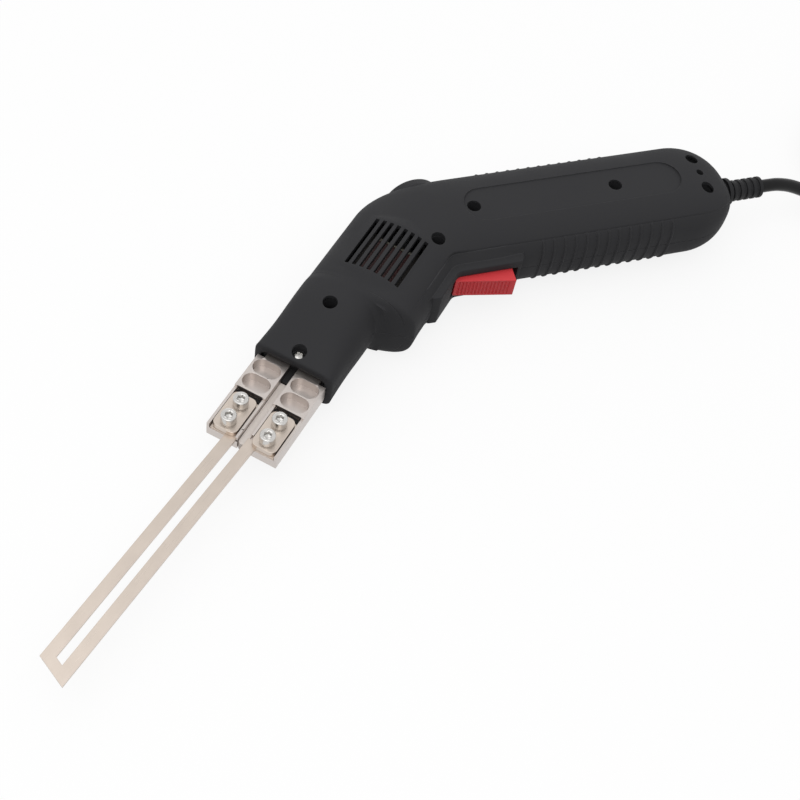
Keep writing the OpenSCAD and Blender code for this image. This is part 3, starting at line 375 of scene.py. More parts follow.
class HotKnifeStage(bpy.types.PropertyGroup):
    """Camera and light"""

    lens: number_prop("Lens", "Focal length for a 36 mm wide sensor", 60.4, 1.0, unit="CAMERA")
    key: power_prop("Key light", "Power of the softbox above the tool", 1.4)
    rim: power_prop("Rim light", "Power of the low softbox behind", 1.2)
    fill: power_prop("Fill light", "Power of the softbox in front", 2.2)
    sky: number_prop("Sky", "Strength of the light from straight above", 1.2)
    horizon: number_prop("Horizon", "Strength of the light from the sides", 0.05)
    backdrop: number_prop("Backdrop", "Strength of the white that the camera and mirrors see", 0.95)
    floor: colour_prop("Floor colour", "Pale floor under the tool", "#f4f4f4")
    bounce: colour_prop("Bounce colour", "Light that the floor throws back up", "#a8a8a8")


def in_frame(points):
    """Points of the drawing as metres in the frame."""
    return CROSSING + np.asarray(points, float) * MM


def nose_at(a, b):
    """Drawing point at a forward along the nose and b out to the trigger side."""
    return a * ALONG + b * ACROSS


def on_nose(points):
    """How far points of the drawing lie forward along the nose and out to the trigger side."""
    x, y = points[..., 0], points[..., 1]
    return x * ALONG[0] + y * ALONG[1], x * ACROSS[0] + y * ACROSS[1]


def smooth_step(t):
    """Soft step from 0 to 1."""
    t = np.clip(t, 0.0, 1.0)
    return t * t * (3 - 2 * t)


def soft_max(p, q, soft):
    """The larger of two heights, with a rounded valley where they meet."""
    return (p + q + np.sqrt((p - q) ** 2 + soft * soft)) / 2


def curve(p, q, r, t):
    """Point on the bow from p to r that leans on q."""
    return (1 - t) ** 2 * p + 2 * t * (1 - t) * q + t * t * r


def new_piece(name, points, faces):
    """Object from points in metres and faces, shaded smooth between crisp edges."""
    mesh = bpy.data.meshes.new(name)
    mesh.from_pydata([tuple(p) for p in points], [], [tuple(f) for f in faces])
    shape = bmesh.new()
    shape.from_mesh(mesh)
    bmesh.ops.remove_doubles(shape, verts=shape.verts, dist=WELD)
    bmesh.ops.recalc_face_normals(shape, faces=shape.faces)
    shape.to_mesh(mesh)
    shape.free()
    shade(mesh)
    piece = bpy.data.objects.new(name, mesh)
    bpy.context.scene.collection.objects.link(piece)
    return piece


def shade(mesh):
    """Smooth shading with crisp edges."""
    mesh.shade_smooth()
    mesh.set_sharp_from_angle(angle=SHARP)


def drawn(name, shape):
    """Object from points of the drawing and faces, in its place."""
    return new_piece(name, in_frame(shape[0]), shape[1])


def loose(name, shape):
    """Object from points of the drawing and faces, about the drawing's own origin."""
    return new_piece(name, np.array(shape[0]) * MM, shape[1])


def cut(piece, tool, how="DIFFERENCE"):
    """Takes a tool's solid out of a piece, or adds it, and takes the tool away."""
    step = piece.modifiers.new("cut", "BOOLEAN")
    step.operation = how
    step.solver = "EXACT"
    step.object = tool
    graph = bpy.context.evaluated_depsgraph_get()
    mesh = bpy.data.meshes.new_from_object(piece.evaluated_get(graph))
    piece.modifiers.clear()
    piece.data = mesh
    bpy.data.objects.remove(tool)


def joined(shapes):
    """One list of points and one of faces from several."""
    points, faces = [], []
    for some, sides in shapes:
        shift = len(points)
        points.extend(some)
        faces.extend([i + shift for i in side] for side in sides)
    return points, faces


def moved(shape, x, y, z=0.0):
    """Shape at another place."""
    return [(p[0] + x, p[1] + y, p[2] + z) for p in shape[0]], shape[1]


def prism(outline, low, high):
    """Outline in the drawing plane, drawn up from low to high."""
    count = len(outline)
    points = [(p[0], p[1], z) for z in (low, high) for p in outline]
    sides = [(i, (i + 1) % count, count + (i + 1) % count, count + i) for i in range(count)]
    return points, [tuple(reversed(range(count))), tuple(range(count, 2 * count)), *sides]


def round_outline(centre, r, count=POINTS.circle, start=0.0, turn=2 * math.pi):
    """Points round a circle, or round a part of it."""
    whole = turn == 2 * math.pi
    steps = [start + turn * k / (count if whole else count - 1) for k in range(count)]
    return [(centre[0] + r * math.cos(t), centre[1] + r * math.sin(t)) for t in steps]


def stadium(front, length, width):
    """Outline with round ends, along the grip."""
    r, count = width / 2, POINTS.end
    rear = round_outline((front + length - r, 0), r, count, -math.pi / 2, math.pi)
    return rear + round_outline((front + r, 0), r, count, math.pi / 2, math.pi)


def nose_box(back, front, inner, outer):
    """Outline of a block along the nose."""
    return [nose_at(*p) for p in ((back, inner), (front, inner), (front, outer), (back, outer))]


def lathe(profile, count=POINTS.circle, socket=0.0):
    """Profile of (radius, height) turned about z, six-sided as far out as a socket's corners."""
    angles = [2 * math.pi * k / count for k in range(count)]
    points = []
    for r, h in profile:
        for t in angles:
            side = math.cos(SIXTH / 2) / math.cos(t % SIXTH - SIXTH / 2) if r <= socket else 1
            at = r * side
            points.append((at * math.cos(t), at * math.sin(t), h))
    faces = []
    for row in range(len(profile) - 1):
        for k in range(count):
            a, b = row * count + k, row * count + (k + 1) % count
            faces.append((a, b, b + count, a + count))
    return points, faces


def add_node(tree, kind, settings=None, links=None, **attributes):
    """Adds one shader node, with its attributes, socket values and links."""
    node = tree.nodes.new("ShaderNode" + kind)
    for name, value in attributes.items():
        setattr(node, name, value)
    for socket, value in (settings or {}).items():
        node.inputs[socket].default_value = value
    for socket, source in (links or {}).items():
        tree.links.new(source, node.inputs[socket])
    return node


def new_finish(name, **sockets):
    """Material with its shader's plain values, and the drawing's coordinates in metres."""
    material = bpy.data.materials.new(name)
    material.use_nodes = True
    tree = material.node_tree
    shader = tree.nodes["Principled BSDF"]
    for socket, value in sockets.items():
        shader.inputs[socket.replace("_", " ")].default_value = value
    place = add_node(tree, "TexCoord").outputs["Object"]
    return material, tree, shader, place


def wire(tree, shader, **sources):
    """Links patterns to the shader's sockets."""
    for socket, source in sources.items():
        tree.links.new(source, shader.inputs[socket.replace("_", " ")])


def per_mm(size):
    """Pattern scale for features of a size in millimetres."""
    return 1 / (size * MM)


def noise(tree, place, scale, detail):
    """Cloudy pattern between 0 and 1."""
    return add_node(
        tree, "TexNoise", {"Scale": scale, "Detail": detail}, {"Vector": place}).outputs["Fac"]


def mapped(tree, value, span, to):
    """Value moved from one span to another."""
    settings = {"From Min": span[0], "From Max": span[1], "To Min": to[0], "To Max": to[1]}
    return add_node(tree, "MapRange", settings, {"Value": value}).outputs["Result"]


def blend(tree, factor, one, other):
    """Colour between two others."""
    mix = add_node(tree, "Mix", {"A": one, "B": other}, {"Factor": factor}, data_type="RGBA")
    return mix.outputs["Result"]


def larger(tree, one, other):
    """The larger of two values."""
    return add_node(tree, "Math", None, {0: one, 1: other}, operation="MAXIMUM").outputs["Value"]


def round_normal(tree, edge):
    """Normal that rounds the edges for the eye."""
    return add_node(tree, "Bevel", {"Radius": edge}, samples=BEVEL_SAMPLES).outputs["Normal"]


def relief(tree, height, strength, deep, **links):
    """Normal of a fine relief, as deep as this in millimetres."""
    return add_node(
        tree, "Bump", {"Strength": strength, "Distance": deep * MM},
        {"Height": height, **links}).outputs["Normal"]


def seen_directly(tree):
    """1 for what the camera, a mirror or glass shows, and 0 for light that only falls on a surface."""
    ray = add_node(tree, "LightPath").outputs
    return larger(tree, larger(tree, ray["Is Camera Ray"], ray["Is Glossy Ray"]), ray["Is Transmission Ray"])


def sparked_abs(name, colour, edge_highlight, edge):
    """ABS moulded in a spark-eroded tool: an even fine grain that breaks up the sheen, and a lighter colour
    painted along every edge as a highlight.
    """
    material, tree, shader, place = new_finish(name, IOR=1.54, Specular_IOR_Level=0.2)
    grain = noise(tree, place, per_mm(SPARK.grain), SPARK.detail)
    cloud = noise(tree, place, per_mm(SPARK.cloud), SPARK.cloud_detail)
    rounded = round_normal(tree, edge)
    flat = add_node(tree, "NewGeometry").outputs["Normal"]
    turned = add_node(tree, "VectorMath", None, {0: rounded, 1: flat}, operation="DOT_PRODUCT")
    # Lighter colour along every edge, convex and concave: a painted highlight
    highlight_share = mapped(tree, turned.outputs["Value"], EDGE_HIGHLIGHT_SPAN, EDGE_HIGHLIGHT_SHARES)
    mottled = add_node(
        tree, "VectorMath", None,
        {0: blend(tree, highlight_share, colour, edge_highlight), "Scale": mapped(tree, cloud, NOISE_SPAN, SPARK.tone)},
        operation="SCALE")
    wire(
        tree, shader, Base_Color=mottled.outputs["Vector"],
        Roughness=mapped(tree, cloud, NOISE_SPAN, SPARK.rough),
        Normal=relief(tree, grain, SPARK.strength, SPARK.deep, Normal=rounded))
    return material


def finish(name, colour=None, edge=FINE_EDGE):
    """Plastic with an even grain, or metal with the parallel marks of its making, slightly clouded."""
    kind = FINISHES[name]
    colour = tuple(colour or linear(kind["colour"]))
    material, tree, shader, place = new_finish(
        name, Metallic=kind["metallic"], IOR=1.5, Specular_IOR_Level=kind["sheen"])
    length, width = (side * MM for side in kind["mark"])
    marks_at = add_node(
        tree, "Mapping",
        {"Rotation": (0.0, 0.0, math.radians(kind["turn"])), "Scale": (length, width, width)},
        {"Vector": place}, vector_type="TEXTURE")
    marks = noise(tree, marks_at.outputs["Vector"], 1.0, kind["detail"])
    cloud = noise(tree, place, per_mm(kind["cloud"]), kind["cloud_detail"])
    other = tuple(min(1.0, c * kind["tone_share"]) for c in colour[:3]) + (1.0,)
    rough = kind["rough"] - kind["spread"], kind["rough"] + kind["spread"]
    wire(
        tree, shader, Base_Color=blend(tree, cloud, colour, other),
        Roughness=mapped(tree, marks if kind["metallic"] else cloud, NOISE_SPAN, rough),
        Normal=relief(tree, marks, kind["strength"], kind["deep"], Normal=round_normal(tree, edge)))
    return material


def stacked_sheets(name):
    """Layers that lie on each other, such as laminations or turns of wire, with a dark line between them."""
    kind = LAYERS[name]
    material, tree, shader, place = new_finish(name, Metallic=kind["metallic"], Roughness=kind["rough"])
    lines = add_node(
        tree, "TexWave",
        {"Scale": per_mm(kind["pitch"]) * WAVE_BAND, "Distortion": 0.3, "Detail": 1.0},
        {"Vector": place}, bands_direction="Z").outputs["Fac"]
    wire(
        tree, shader, Base_Color=blend(tree, lines, linear(kind["gap"]), linear(kind["colour"])),
        Normal=relief(tree, lines, LAYER_STRENGTH, LAYER_DEEP))
    return material


def dress(piece, slot, material, *nodes):
    """Gives a new piece its finish, ties it to the housing and hides the nodes that it stands for."""
    piece.data.materials.clear()
    piece.data.materials.append(material)
    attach(piece, "housing")
    if nodes:
        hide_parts(*nodes)


def coat(node, material, edge):
    """Gives a solid of the frame its finish and breaks its edges."""
    piece = NODES[node]
    piece.data.materials.clear()
    piece.data.materials.append(material)
    break_edges(piece, edge)


def break_edges(piece, edge):
    """Rounds the sharp edges of a piece."""
    piece.data.shade_smooth()
    weld = piece.modifiers.new("weld", "WELD")
    weld.merge_threshold = WELD
    rounded = piece.modifiers.new("edges", "BEVEL")
    rounded.width = edge
    rounded.segments = EDGE_SEGMENTS
    rounded.limit_method = "ANGLE"
    rounded.angle_limit = SHARP
    piece.modifiers.new("normals", "WEIGHTED_NORMAL")
    return piece


def wedge_half(a):
    """Half thickness of the nose, which tapers to the lip."""
    rise = (HALF_T - LIP_HALF) / WEDGE_L
    slope = LIP_HALF + (NOSE_REACH - a) * rise
    return HALF_T + slope - soft_max(HALF_T, slope, WEDGE_SOFT)


def nose_section(a, under, half, power, inset=0.0):
    """Section across the nose: spine point, trigger-side point, half thickness and squareness."""
    return nose_at(a, -NOSE_HALF + inset), nose_at(a, under - inset), half - inset, power


def grip_section(x, high, thick):
    """Section across the grip."""
    return np.array((x, high)), np.array((x, -high)), thick, BODY_POWER


def rib_places(rib):
    """Places along the grip that draw each rib's round top."""
    return [rib.front + k * rib.pitch + s * rib.width for k in range(RIB_COUNT) for s in RIB_SHARES]


def nose_sections():
    """Sections from the front lip to the back of the chin."""
    sections = []
    for turn in np.linspace(math.pi / 2, 0, SECTIONS.lip):
        a = NOSE_REACH - LIP_ROUND * (1 - math.sin(turn))
        inset = LIP_ROUND * (1 - math.cos(turn))
        sections.append(nose_section(a, NOSE_HALF, wedge_half(a), LIP_POWER, inset))
    root = CHIN_REACH + CHIN_SLOPE
    for a in np.linspace(NOSE_REACH - LIP_ROUND, root, int((NOSE_REACH - root) / STEP))[1:]:
        share = min(1.0, (NOSE_REACH - a) / WEDGE_L)
        power = BODY_POWER + (LIP_POWER - BODY_POWER) * (1 - share) ** LIP_FADE
        sections.append(nose_section(a, NOSE_HALF, wedge_half(a), power))
    for t in np.linspace(0, 1, SECTIONS.chin)[1:]:
        under = NOSE_HALF + (CHIN_D - NOSE_HALF) * (1 - math.cos(math.pi * t)) / 2
        a = CHIN_REACH + CHIN_SLOPE * (1 - t)
        sections.append(nose_section(a, under, wedge_half(a), BODY_POWER))
    for a in np.linspace(CHIN_REACH, CHIN_BACK, int((CHIN_REACH - CHIN_BACK) / STEP))[1:]:
        sections.append(nose_section(a, CHIN_D, HALF_T, BODY_POWER))
    return sections


def housing_sections(skin):
    """Sections from the front lip over the bend to the rear end."""
    sections = nose_sections()
    corner = nose_at((NOSE_HALF * math.cos(BEND) - GRIP_HALF) / math.sin(BEND), -NOSE_HALF)
    spine_ends = nose_at(0, -NOSE_HALF), np.array((SPINE_END, GRIP_HALF))
    under_ends = nose_at(CHIN_BACK - CHIN_BLEND, CHIN_D), np.array((UNDER_END, -GRIP_HALF))
    for t in np.linspace(0, 1, SECTIONS.bend):
        spine = curve(spine_ends[0], corner, spine_ends[1], t)
        under = curve(under_ends[0], UNDER_CORNER, under_ends[1], t)
        sections.append((spine, under, HALF_T, BODY_POWER))
    places = list(np.arange(UNDER_END + STEP, GRIP_REACH, STEP))
    last = UNDER_END
    for x in sorted(places + rib_places(SPINE_RIB) + rib_places(UNDER_RIB)):
        if x - last > STEP * LEAST_STEP_SHARE:
            sections.append(grip_section(x, GRIP_HALF, HALF_T))
            last = x
    for turn in np.radians(np.linspace(0, REAR_TURN, SECTIONS.rear)):
        x = GRIP_REACH + (REAR_L - skin) * math.sin(turn)
        high = (GRIP_HALF - skin) * math.cos(turn) + skin
        thick = (HALF_T - skin) * math.cos(turn) + skin
        sections.append(grip_section(x, high, thick))
    return sections


def dense_ring(section, skin):
    """Half section from the spine to the trigger side as a fine line, with its length so far."""
    spine, under, half, power = section
    reach = np.linalg.norm(spine - under) / 2
    out = (spine - under) / (2 * reach)
    angle = np.linspace(0, math.pi, RING_FINE)
    c, s = np.cos(angle), np.clip(np.sin(angle), 0, None)
    across = (reach - skin) * np.sign(c) * np.abs(c) ** (2 / power)
    middle = (spine + under) / 2
    line = np.column_stack([middle + across[:, None] * out, (half - skin) * s ** (2 / power)])
    run = np.concatenate([[0], np.cumsum(np.linalg.norm(np.diff(line, axis=0), axis=1))])
    return line, run


def ring_shares():
    """Places round a half section as shares of its length, closer at the crease and the parting line."""
    line, run = dense_ring(grip_section(0, GRIP_HALF, HALF_T), 0)
    whole = run[-1]
    crease = np.interp(-CREASE.y, -line[:, 1], run) / whole
    shares = list(np.linspace(0, 1, RING_POINTS)) + [crease + d / whole for d in CREASE_OFFSETS]
    for d in PARTING_OFFSETS:
        shares += [d / whole, 1 - d / whole]
    kept = [0.0]
    for share in sorted(shares)[1:]:
        if share - kept[-1] > RING_GAP / whole:
            kept.append(share)
    kept[-1] = 1.0
    return np.array(kept), crease


def crease_share(line, run, usual):
    """Share of a half section's length at which the crease, round at the bend, crosses it."""
    b = on_nose(line)[1]
    past = -soft_max(line[:, 1] - CREASE.y, CREASE.b - b, CREASE_BEND) > 0
    on_grip = line[0, 0] > UNDER_END
    if on_grip or not past.any():
        return usual
    return run[np.argmax(past)] / run[-1]


def barrel_height(points, skin):
    """Height of the barrel's skin over points of the drawing, and how far they lie within its sides."""
    a, b = on_nose(points)
    back = (BARREL_BACK - a) / CONE_BACK.length
    front = (a - BARREL_FRONT) / CONE_FRONT.length
    drop = np.maximum(np.clip(back, 0, 1) * CONE_BACK.drop, np.clip(front, 0, 1) * CONE_FRONT.drop)
    bow = (BARREL_BOW - skin - drop) ** 2 - (b - BARREL_SIDE) ** 2
    height = BARREL_R - BARREL_BOW + np.sqrt(np.clip(bow, 0, None))
    low, high = BARREL_SIDES
    within = smooth_step((b - low) / BARREL_EDGE) * smooth_step((high - b) / BARREL_EDGE)
    return height, within * (back < 1) * (front < 1)


def rib_height(x, z, rib):
    """Height of a row of round-topped ribs that fade out at their top ends."""
    nearest = np.clip(np.round((x - rib.front) / rib.pitch), 0, RIB_COUNT - 1)
    off = (x - rib.front - nearest * rib.pitch) / (rib.width / 2)
    return rib.height * np.sqrt(np.clip(1 - off ** 2, 0, None)) * smooth_step((rib.top - z) / rib.fade)


def skin_grid(skin, housing):
    """Grid of points on the outer skin, with its moulded detail, or on the inner one."""
    shares, crease = ring_shares()
    rings, runs = [], []
    for section in housing_sections(skin):
        line, run = dense_ring(section, skin)
        here = crease_share(line, run, crease)
        at = np.interp(shares, (0, crease, 1), (0, here, 1)) * run[-1]
        rings.append(np.column_stack([np.interp(at, run, line[:, k]) for k in range(3)]))
        runs.append(at - here * run[-1])
    grid, run = np.array(rings), np.array(runs)
    grid[:, [0, -1], 2] = 0.0
    barrel, within = barrel_height(grid, skin)
    lift = soft_max(barrel - grid[..., 2], 0, BARREL_SOFT) - BARREL_SOFT * BARREL_SINK_SHARE
    grid[..., 2] += np.where(grid[..., 2] > HALF_T / 2, np.clip(lift, 0, None) * within, 0)
    if skin:
        return grid
    x, y, z = grid[..., 0], grid[..., 1], grid[..., 2]
    normal = np.cross(np.gradient(grid, axis=1), np.gradient(grid, axis=0))
    normal /= np.linalg.norm(normal, axis=-1, keepdims=True) + TINY
    outward = (normal * (grid - grid.mean(axis=1, keepdims=True))).sum(-1, keepdims=True)
    normal *= np.where(outward < 0, -1, 1)
    front, rear = CREASE_ENDS
    creased = smooth_step((front - on_nose(grid)[0]) / CREASE_FADE) * smooth_step((rear - x) / CREASE_FADE)
    move = -housing.crease / MM * np.exp(-(run / CREASE_W) ** 2) * creased
    move -= housing.band / MM * smooth_step(run / BAND_STEP) * creased
    move += rib_height(x, z, SPINE_RIB) * (y > 0) + rib_height(x, z, UNDER_RIB) * (y < 0)
    edge = np.zeros(len(shares))
    edge[[0, -1]] = PARTING_DROP
    grid = grid + (move - edge[None, :])[..., None] * normal
    grid[:, [0, -1], 2] = 0.0
    return grid


def half_shell_solid(housing):
    """Closed wall between the outer and the inner skin of one shell."""
    outer, inner = skin_grid(0.0, housing), skin_grid(WALL, housing)
    rows, ring = outer.shape[:2]
    shift = rows * ring
    faces = []
    for i in range(rows - 1):
        for j in range(ring - 1):
            a = i * ring + j
            quad = (a, a + ring, a + ring + 1, a + 1)
            faces.append(quad)
            faces.append(tuple(k + shift for k in reversed(quad)))
        for a in (i * ring, i * ring + ring - 1):
            faces.append((a, a + ring, a + ring + shift, a + shift))
    for start in (0, (rows - 1) * ring):
        for a in range(start, start + ring - 1):
            faces.append((a, a + 1, a + 1 + shift, a + shift))
    return np.concatenate([outer.reshape(-1, 3), inner.reshape(-1, 3)]), faces


def screw_cup(place, low, rim):
    """Wall and floor of one screw's well."""
    under = low - CUP_FLOOR
    profile = ((0, under), (CUP_R, under), (CUP_R, rim), (SINK_R, rim), (SINK_R, low), (0, low))
    return moved(lathe(profile), *place)


def bent_turn(y, b, reach, count):
    """Soft turn between a line along the grip and one along the nose."""
    corner = np.array((b / math.sin(BEND) + y, y))
    before, after = corner + reach * np.array((1, 0)), corner + reach * nose_at(1, 0)
    return [curve(before, corner, after, t) for t in np.linspace(0, 1, count)]


def trigger_frame(foot):
    """Half of the raised frame round the trigger's opening, which runs on along the body to a small foot."""
    outline = [
        (FRAME_REAR, CREASE.y), (FRAME_REAR, -GRIP_HALF), (FRAME_REAR - FRAME_TURN, FRAME_OUT),
        *bent_turn(FRAME_OUT, RAMP.out, FRAME_TURN, POINTS.frame_turn),
        nose_at(foot.front, RAMP.out), nose_at(foot.toe, CHIN_D), nose_at(foot.toe, RAMP.inner),
        nose_at(RAMP.back, RAMP.inner), (UNDER_CORNER[0], CREASE.y),
    ]
    points, faces = prism(outline, 0.0, FRAME_TOP)
    solid = bmesh.new()
    made = [solid.verts.new(p) for p in points]
    for face in faces:
        solid.faces.new([made[i] for i in face])
    bmesh.ops.recalc_face_normals(solid, faces=solid.faces)
    top = [e for e in solid.edges if min(v.co.z for v in e.verts) > FRAME_TOP / 2]
    corners = [e for e in solid.edges if max(v.co.z for v in e.verts) > min(v.co.z for v in e.verts)]
    crisp = top + [e for e in corners if e.calc_face_angle() > SHARP]
    bmesh.ops.bevel(solid, geom=crisp, offset=FRAME_EDGE, segments=4, profile=0.5, affect="EDGES")
    for v in solid.verts:
        v.co.xy += Vector(LEAN * foot.lean * v.co.z / FRAME_TOP)
    solid.verts.index_update()
    result = [tuple(v.co) for v in solid.verts], [[v.index for v in f.verts] for f in solid.faces]
    solid.free()
    return result


def bent_line(side, out, front, sink):
    """Line along the grip, round a soft turn and along the nose; its ends lie further in by the sink."""
    y, b = side.y - out, side.b + out
    return [
        (FRAME_REAR, y + sink), (FRAME_REAR - STRIP.taper, y),
        *bent_turn(y, b, STRIP.turn, POINTS.turn),
        nose_at(front - STRIP.toe, b), nose_at(front, b - sink)]


def swept(*rows):
    """Solid between lines of equally many points, each at its own height."""
    count = len(rows[0][0])
    points = [(p[0], p[1], z) for line, z in rows for p in line]
    faces = []
    for row in range(len(rows)):
        here, there = row * count, (row + 1) % len(rows) * count
        faces += [(here + k, here + k + 1, there + k + 1, there + k) for k in range(count - 1)]
    return points, faces + [[row * count + k for row in range(len(rows))] for k in (0, count - 1)]


def trigger_strip(front):
    """Sloped strip between the crease and the trigger's frame, and the room that is cut free above it."""
    sink, skin, top, base = STRIP.sink, STRIP.skin, STRIP.top, TRIGGER_GAP.half
    upper, lower = bent_line(CREASE, 0.0, front, sink), bent_line(STRIP_OUT, 0.0, front, sink)
    inner, far = bent_line(CREASE, -STRIP.inner, front, 0.0), bent_line(STRIP_OUT, STRIP.far, front, 0.0)
    under, edge = bent_line(STRIP_OUT, -skin, front, -sink), bent_line(CREASE, -skin, front, -sink)
    floor = FRAME_TOP - skin
    strip = swept((inner, base), (lower, base), (lower, FRAME_TOP), (upper, top), (inner, top))
    return strip, swept((under, floor), (edge, top), (edge, TOP), (far, TOP), (far, floor))


def by_dial(shape):
    """Shape drawn about the dial's axis, set in its place."""
    points, faces = shape
    lean = math.radians(DIAL.lean)
    placed = []
    for x, z, y in points:
        placed.append((
            DIAL.x + x * math.cos(lean) - y * math.sin(lean),
            DIAL.y + x * math.sin(lean) + y * math.cos(lean), z))
    return placed, faces


def shell_openings(upper, opening):
    """Everything that is cut out of one shell's wall."""
    tools = []
    for k in range(SLOTS.count):
        low = BARREL_SIDE + (k - (SLOTS.count - 1) / 2) * SLOTS.pitch - SLOTS.width / 2
        slot = nose_box(SLOTS.front - SLOTS.length, SLOTS.front, low, low + SLOTS.width)
        tools.append(prism(slot, SLOTS.low, TOP))
    tools.append(opening)
    tools.append(prism(round_outline((SPARE_HOLE.x, 0), SPARE_HOLE.r), SPARE_HOLE.low, TOP))
    tools.append(by_dial(prism(round_outline((0, 0), DIAL.recess_r, POINTS.dial), 0.0, TOP)))
    rod, sides = prism(round_outline((0, 0), BOOT_HOLE_R), GRIP_REACH, GRIP_REACH + 2 * REAR_L)
    tools.append(([(z, x, y) for x, y, z in rod], sides))
    if upper:
        tools += [prism(round_outline(place, SINK_R), low, TOP) for place, low, _ in WELLS]
    return joined(tools)


def half_shell(name, upper, housing):
    """One shell with its openings, wells and trigger frame."""
    piece = loose(name, half_shell_solid(housing))
    panel = stadium(PANEL.front, PANEL.length, PANEL.width)
    cut(piece, loose("panel", prism(panel, HALF_T - PANEL.depth, TOP)))
    front, rear, high = TRIGGER_GAP.front, TRIGGER_GAP.rear, TRIGGER_GAP.top
    opening = prism(
        [(front, -DEEP), (rear, -DEEP), (rear, high), (front, high)], -TOP, TRIGGER_GAP.half)
    cut(piece, loose("openings", shell_openings(upper, opening)))
    foot = UPPER_FOOT if upper else LOWER_FOOT
    strip, room = trigger_strip(foot.toe + STRIP.past)
    cut(piece, loose("room", room))
    frame = loose("frame", trigger_frame(foot))
    cut(frame, loose("opening", opening))
    pad = prism(round_outline((0, 0), DIAL.pad_r, POINTS.pad, 0.0, math.pi), -DIAL.pad, 0.0)
    inner = [strip, by_dial(pad)]
    if upper:
        inner += [screw_cup(*cup) for cup in WELLS]
    extra = loose("fittings", joined(inner))
    shell = bmesh.new()
    shell.from_mesh(piece.data)
    for part in (extra, frame):
        shell.from_mesh(part.data)
        bpy.data.objects.remove(part)
    flip = 1 if upper else -1
    for v in shell.verts:
        v.co = in_frame((v.co.x / MM, v.co.y / MM, flip * v.co.z / MM))
    if not upper:
        bmesh.ops.reverse_faces(shell, faces=shell.faces)
    shell.to_mesh(piece.data)
    shell.free()
    shade(piece.data)
    return piece


class HOTKNIFE_OT_stage(bpy.types.Operator):
    """Sets up the camera, the pale floor and the soft studio light"""

    bl_idname = "hotknife.stage"
    bl_label = "Stage"

    def execute(self, context):
        stage = context.scene.hotknife_stage
        camera = bpy.data.objects.new("camera", bpy.data.cameras.new("camera"))
        camera.data.lens = stage.lens
        camera.data.sensor_width = SENSOR_W
        camera.data.clip_start = CLIP_START
        turn = Matrix((CAMERA_RIGHT, CAMERA_UP, CAMERA_BACK)).transposed().to_4x4()
        camera.matrix_world = Matrix.Translation(in_frame(CAMERA_DRAWN)) @ turn
        context.scene.collection.objects.link(camera)
        context.scene.camera = camera
        context.scene.view_settings.view_transform = "Standard"
        corners = [(i * FLOOR_HALF, j * FLOOR_HALF, 0) for i, j in ((-1, -1), (1, -1), (1, 1), (-1, 1))]
        floor = new_piece("floor", corners, [(0, 1, 2, 3)])
        floor.location.z = -FLOOR_DROP
        floor.data.materials.append(self.pale_floor(stage))
        self.soft_light(context, stage)
        return {"FINISHED"}

    def pale_floor(self, stage):
        """Painted board: it reads white where it is seen, and keeps a soft shadow."""
        material, tree, shader, _ = new_finish("painted board", Roughness=0.9, Specular_IOR_Level=0.1)
        seen = seen_directly(tree)
        wire(tree, shader, Base_Color=blend(tree, seen, tuple(stage.bounce), tuple(stage.floor)))
        glow = add_node(tree, "Emission", {"Color": WHITE, "Strength": 1.0})
        share = add_node(tree, "Math", {1: FLOOR_GLOW_SHARE}, {0: seen}, operation="MULTIPLY")
        mixed = add_node(
            tree, "MixShader", None,
            {0: share.outputs["Value"], 1: shader.outputs["BSDF"], 2: glow.outputs["Emission"]})
        tree.links.new(mixed.outputs["Shader"], tree.nodes["Material Output"].inputs["Surface"])
        return material

    def soft_light(self, context, stage):
        """Sky that lights from above and is seen as plain white, with softboxes round the tool."""
        world = bpy.data.worlds.new("studio")
        context.scene.world = world
        world.use_nodes = True
        tree = world.node_tree
        ray = add_node(tree, "TexCoord").outputs["Generated"]
        height = add_node(tree, "SeparateXYZ", None, {0: ray}).outputs["Z"]
        falling = mapped(tree, height, (0.0, 1.0), (stage.horizon, stage.sky))
        strength = add_node(
            tree, "MapRange", {"To Max": stage.backdrop},
            {"Value": seen_directly(tree), "To Min": falling})
        sky = tree.nodes["Background"]
        sky.inputs["Color"].default_value = WHITE
        wire(tree, sky, Strength=strength.outputs["Result"])
        for name, place, side, power in SOFTBOXES:
            lamp = bpy.data.lights.new(name, "AREA")
            lamp.energy = getattr(stage, power)
            lamp.size = side
            light = bpy.data.objects.new(name, lamp)
            light.location = place
            aim = (light.location * -1).to_track_quat("-Z", "Y")
            light.rotation_euler = aim.to_euler()
            context.scene.collection.objects.link(light)


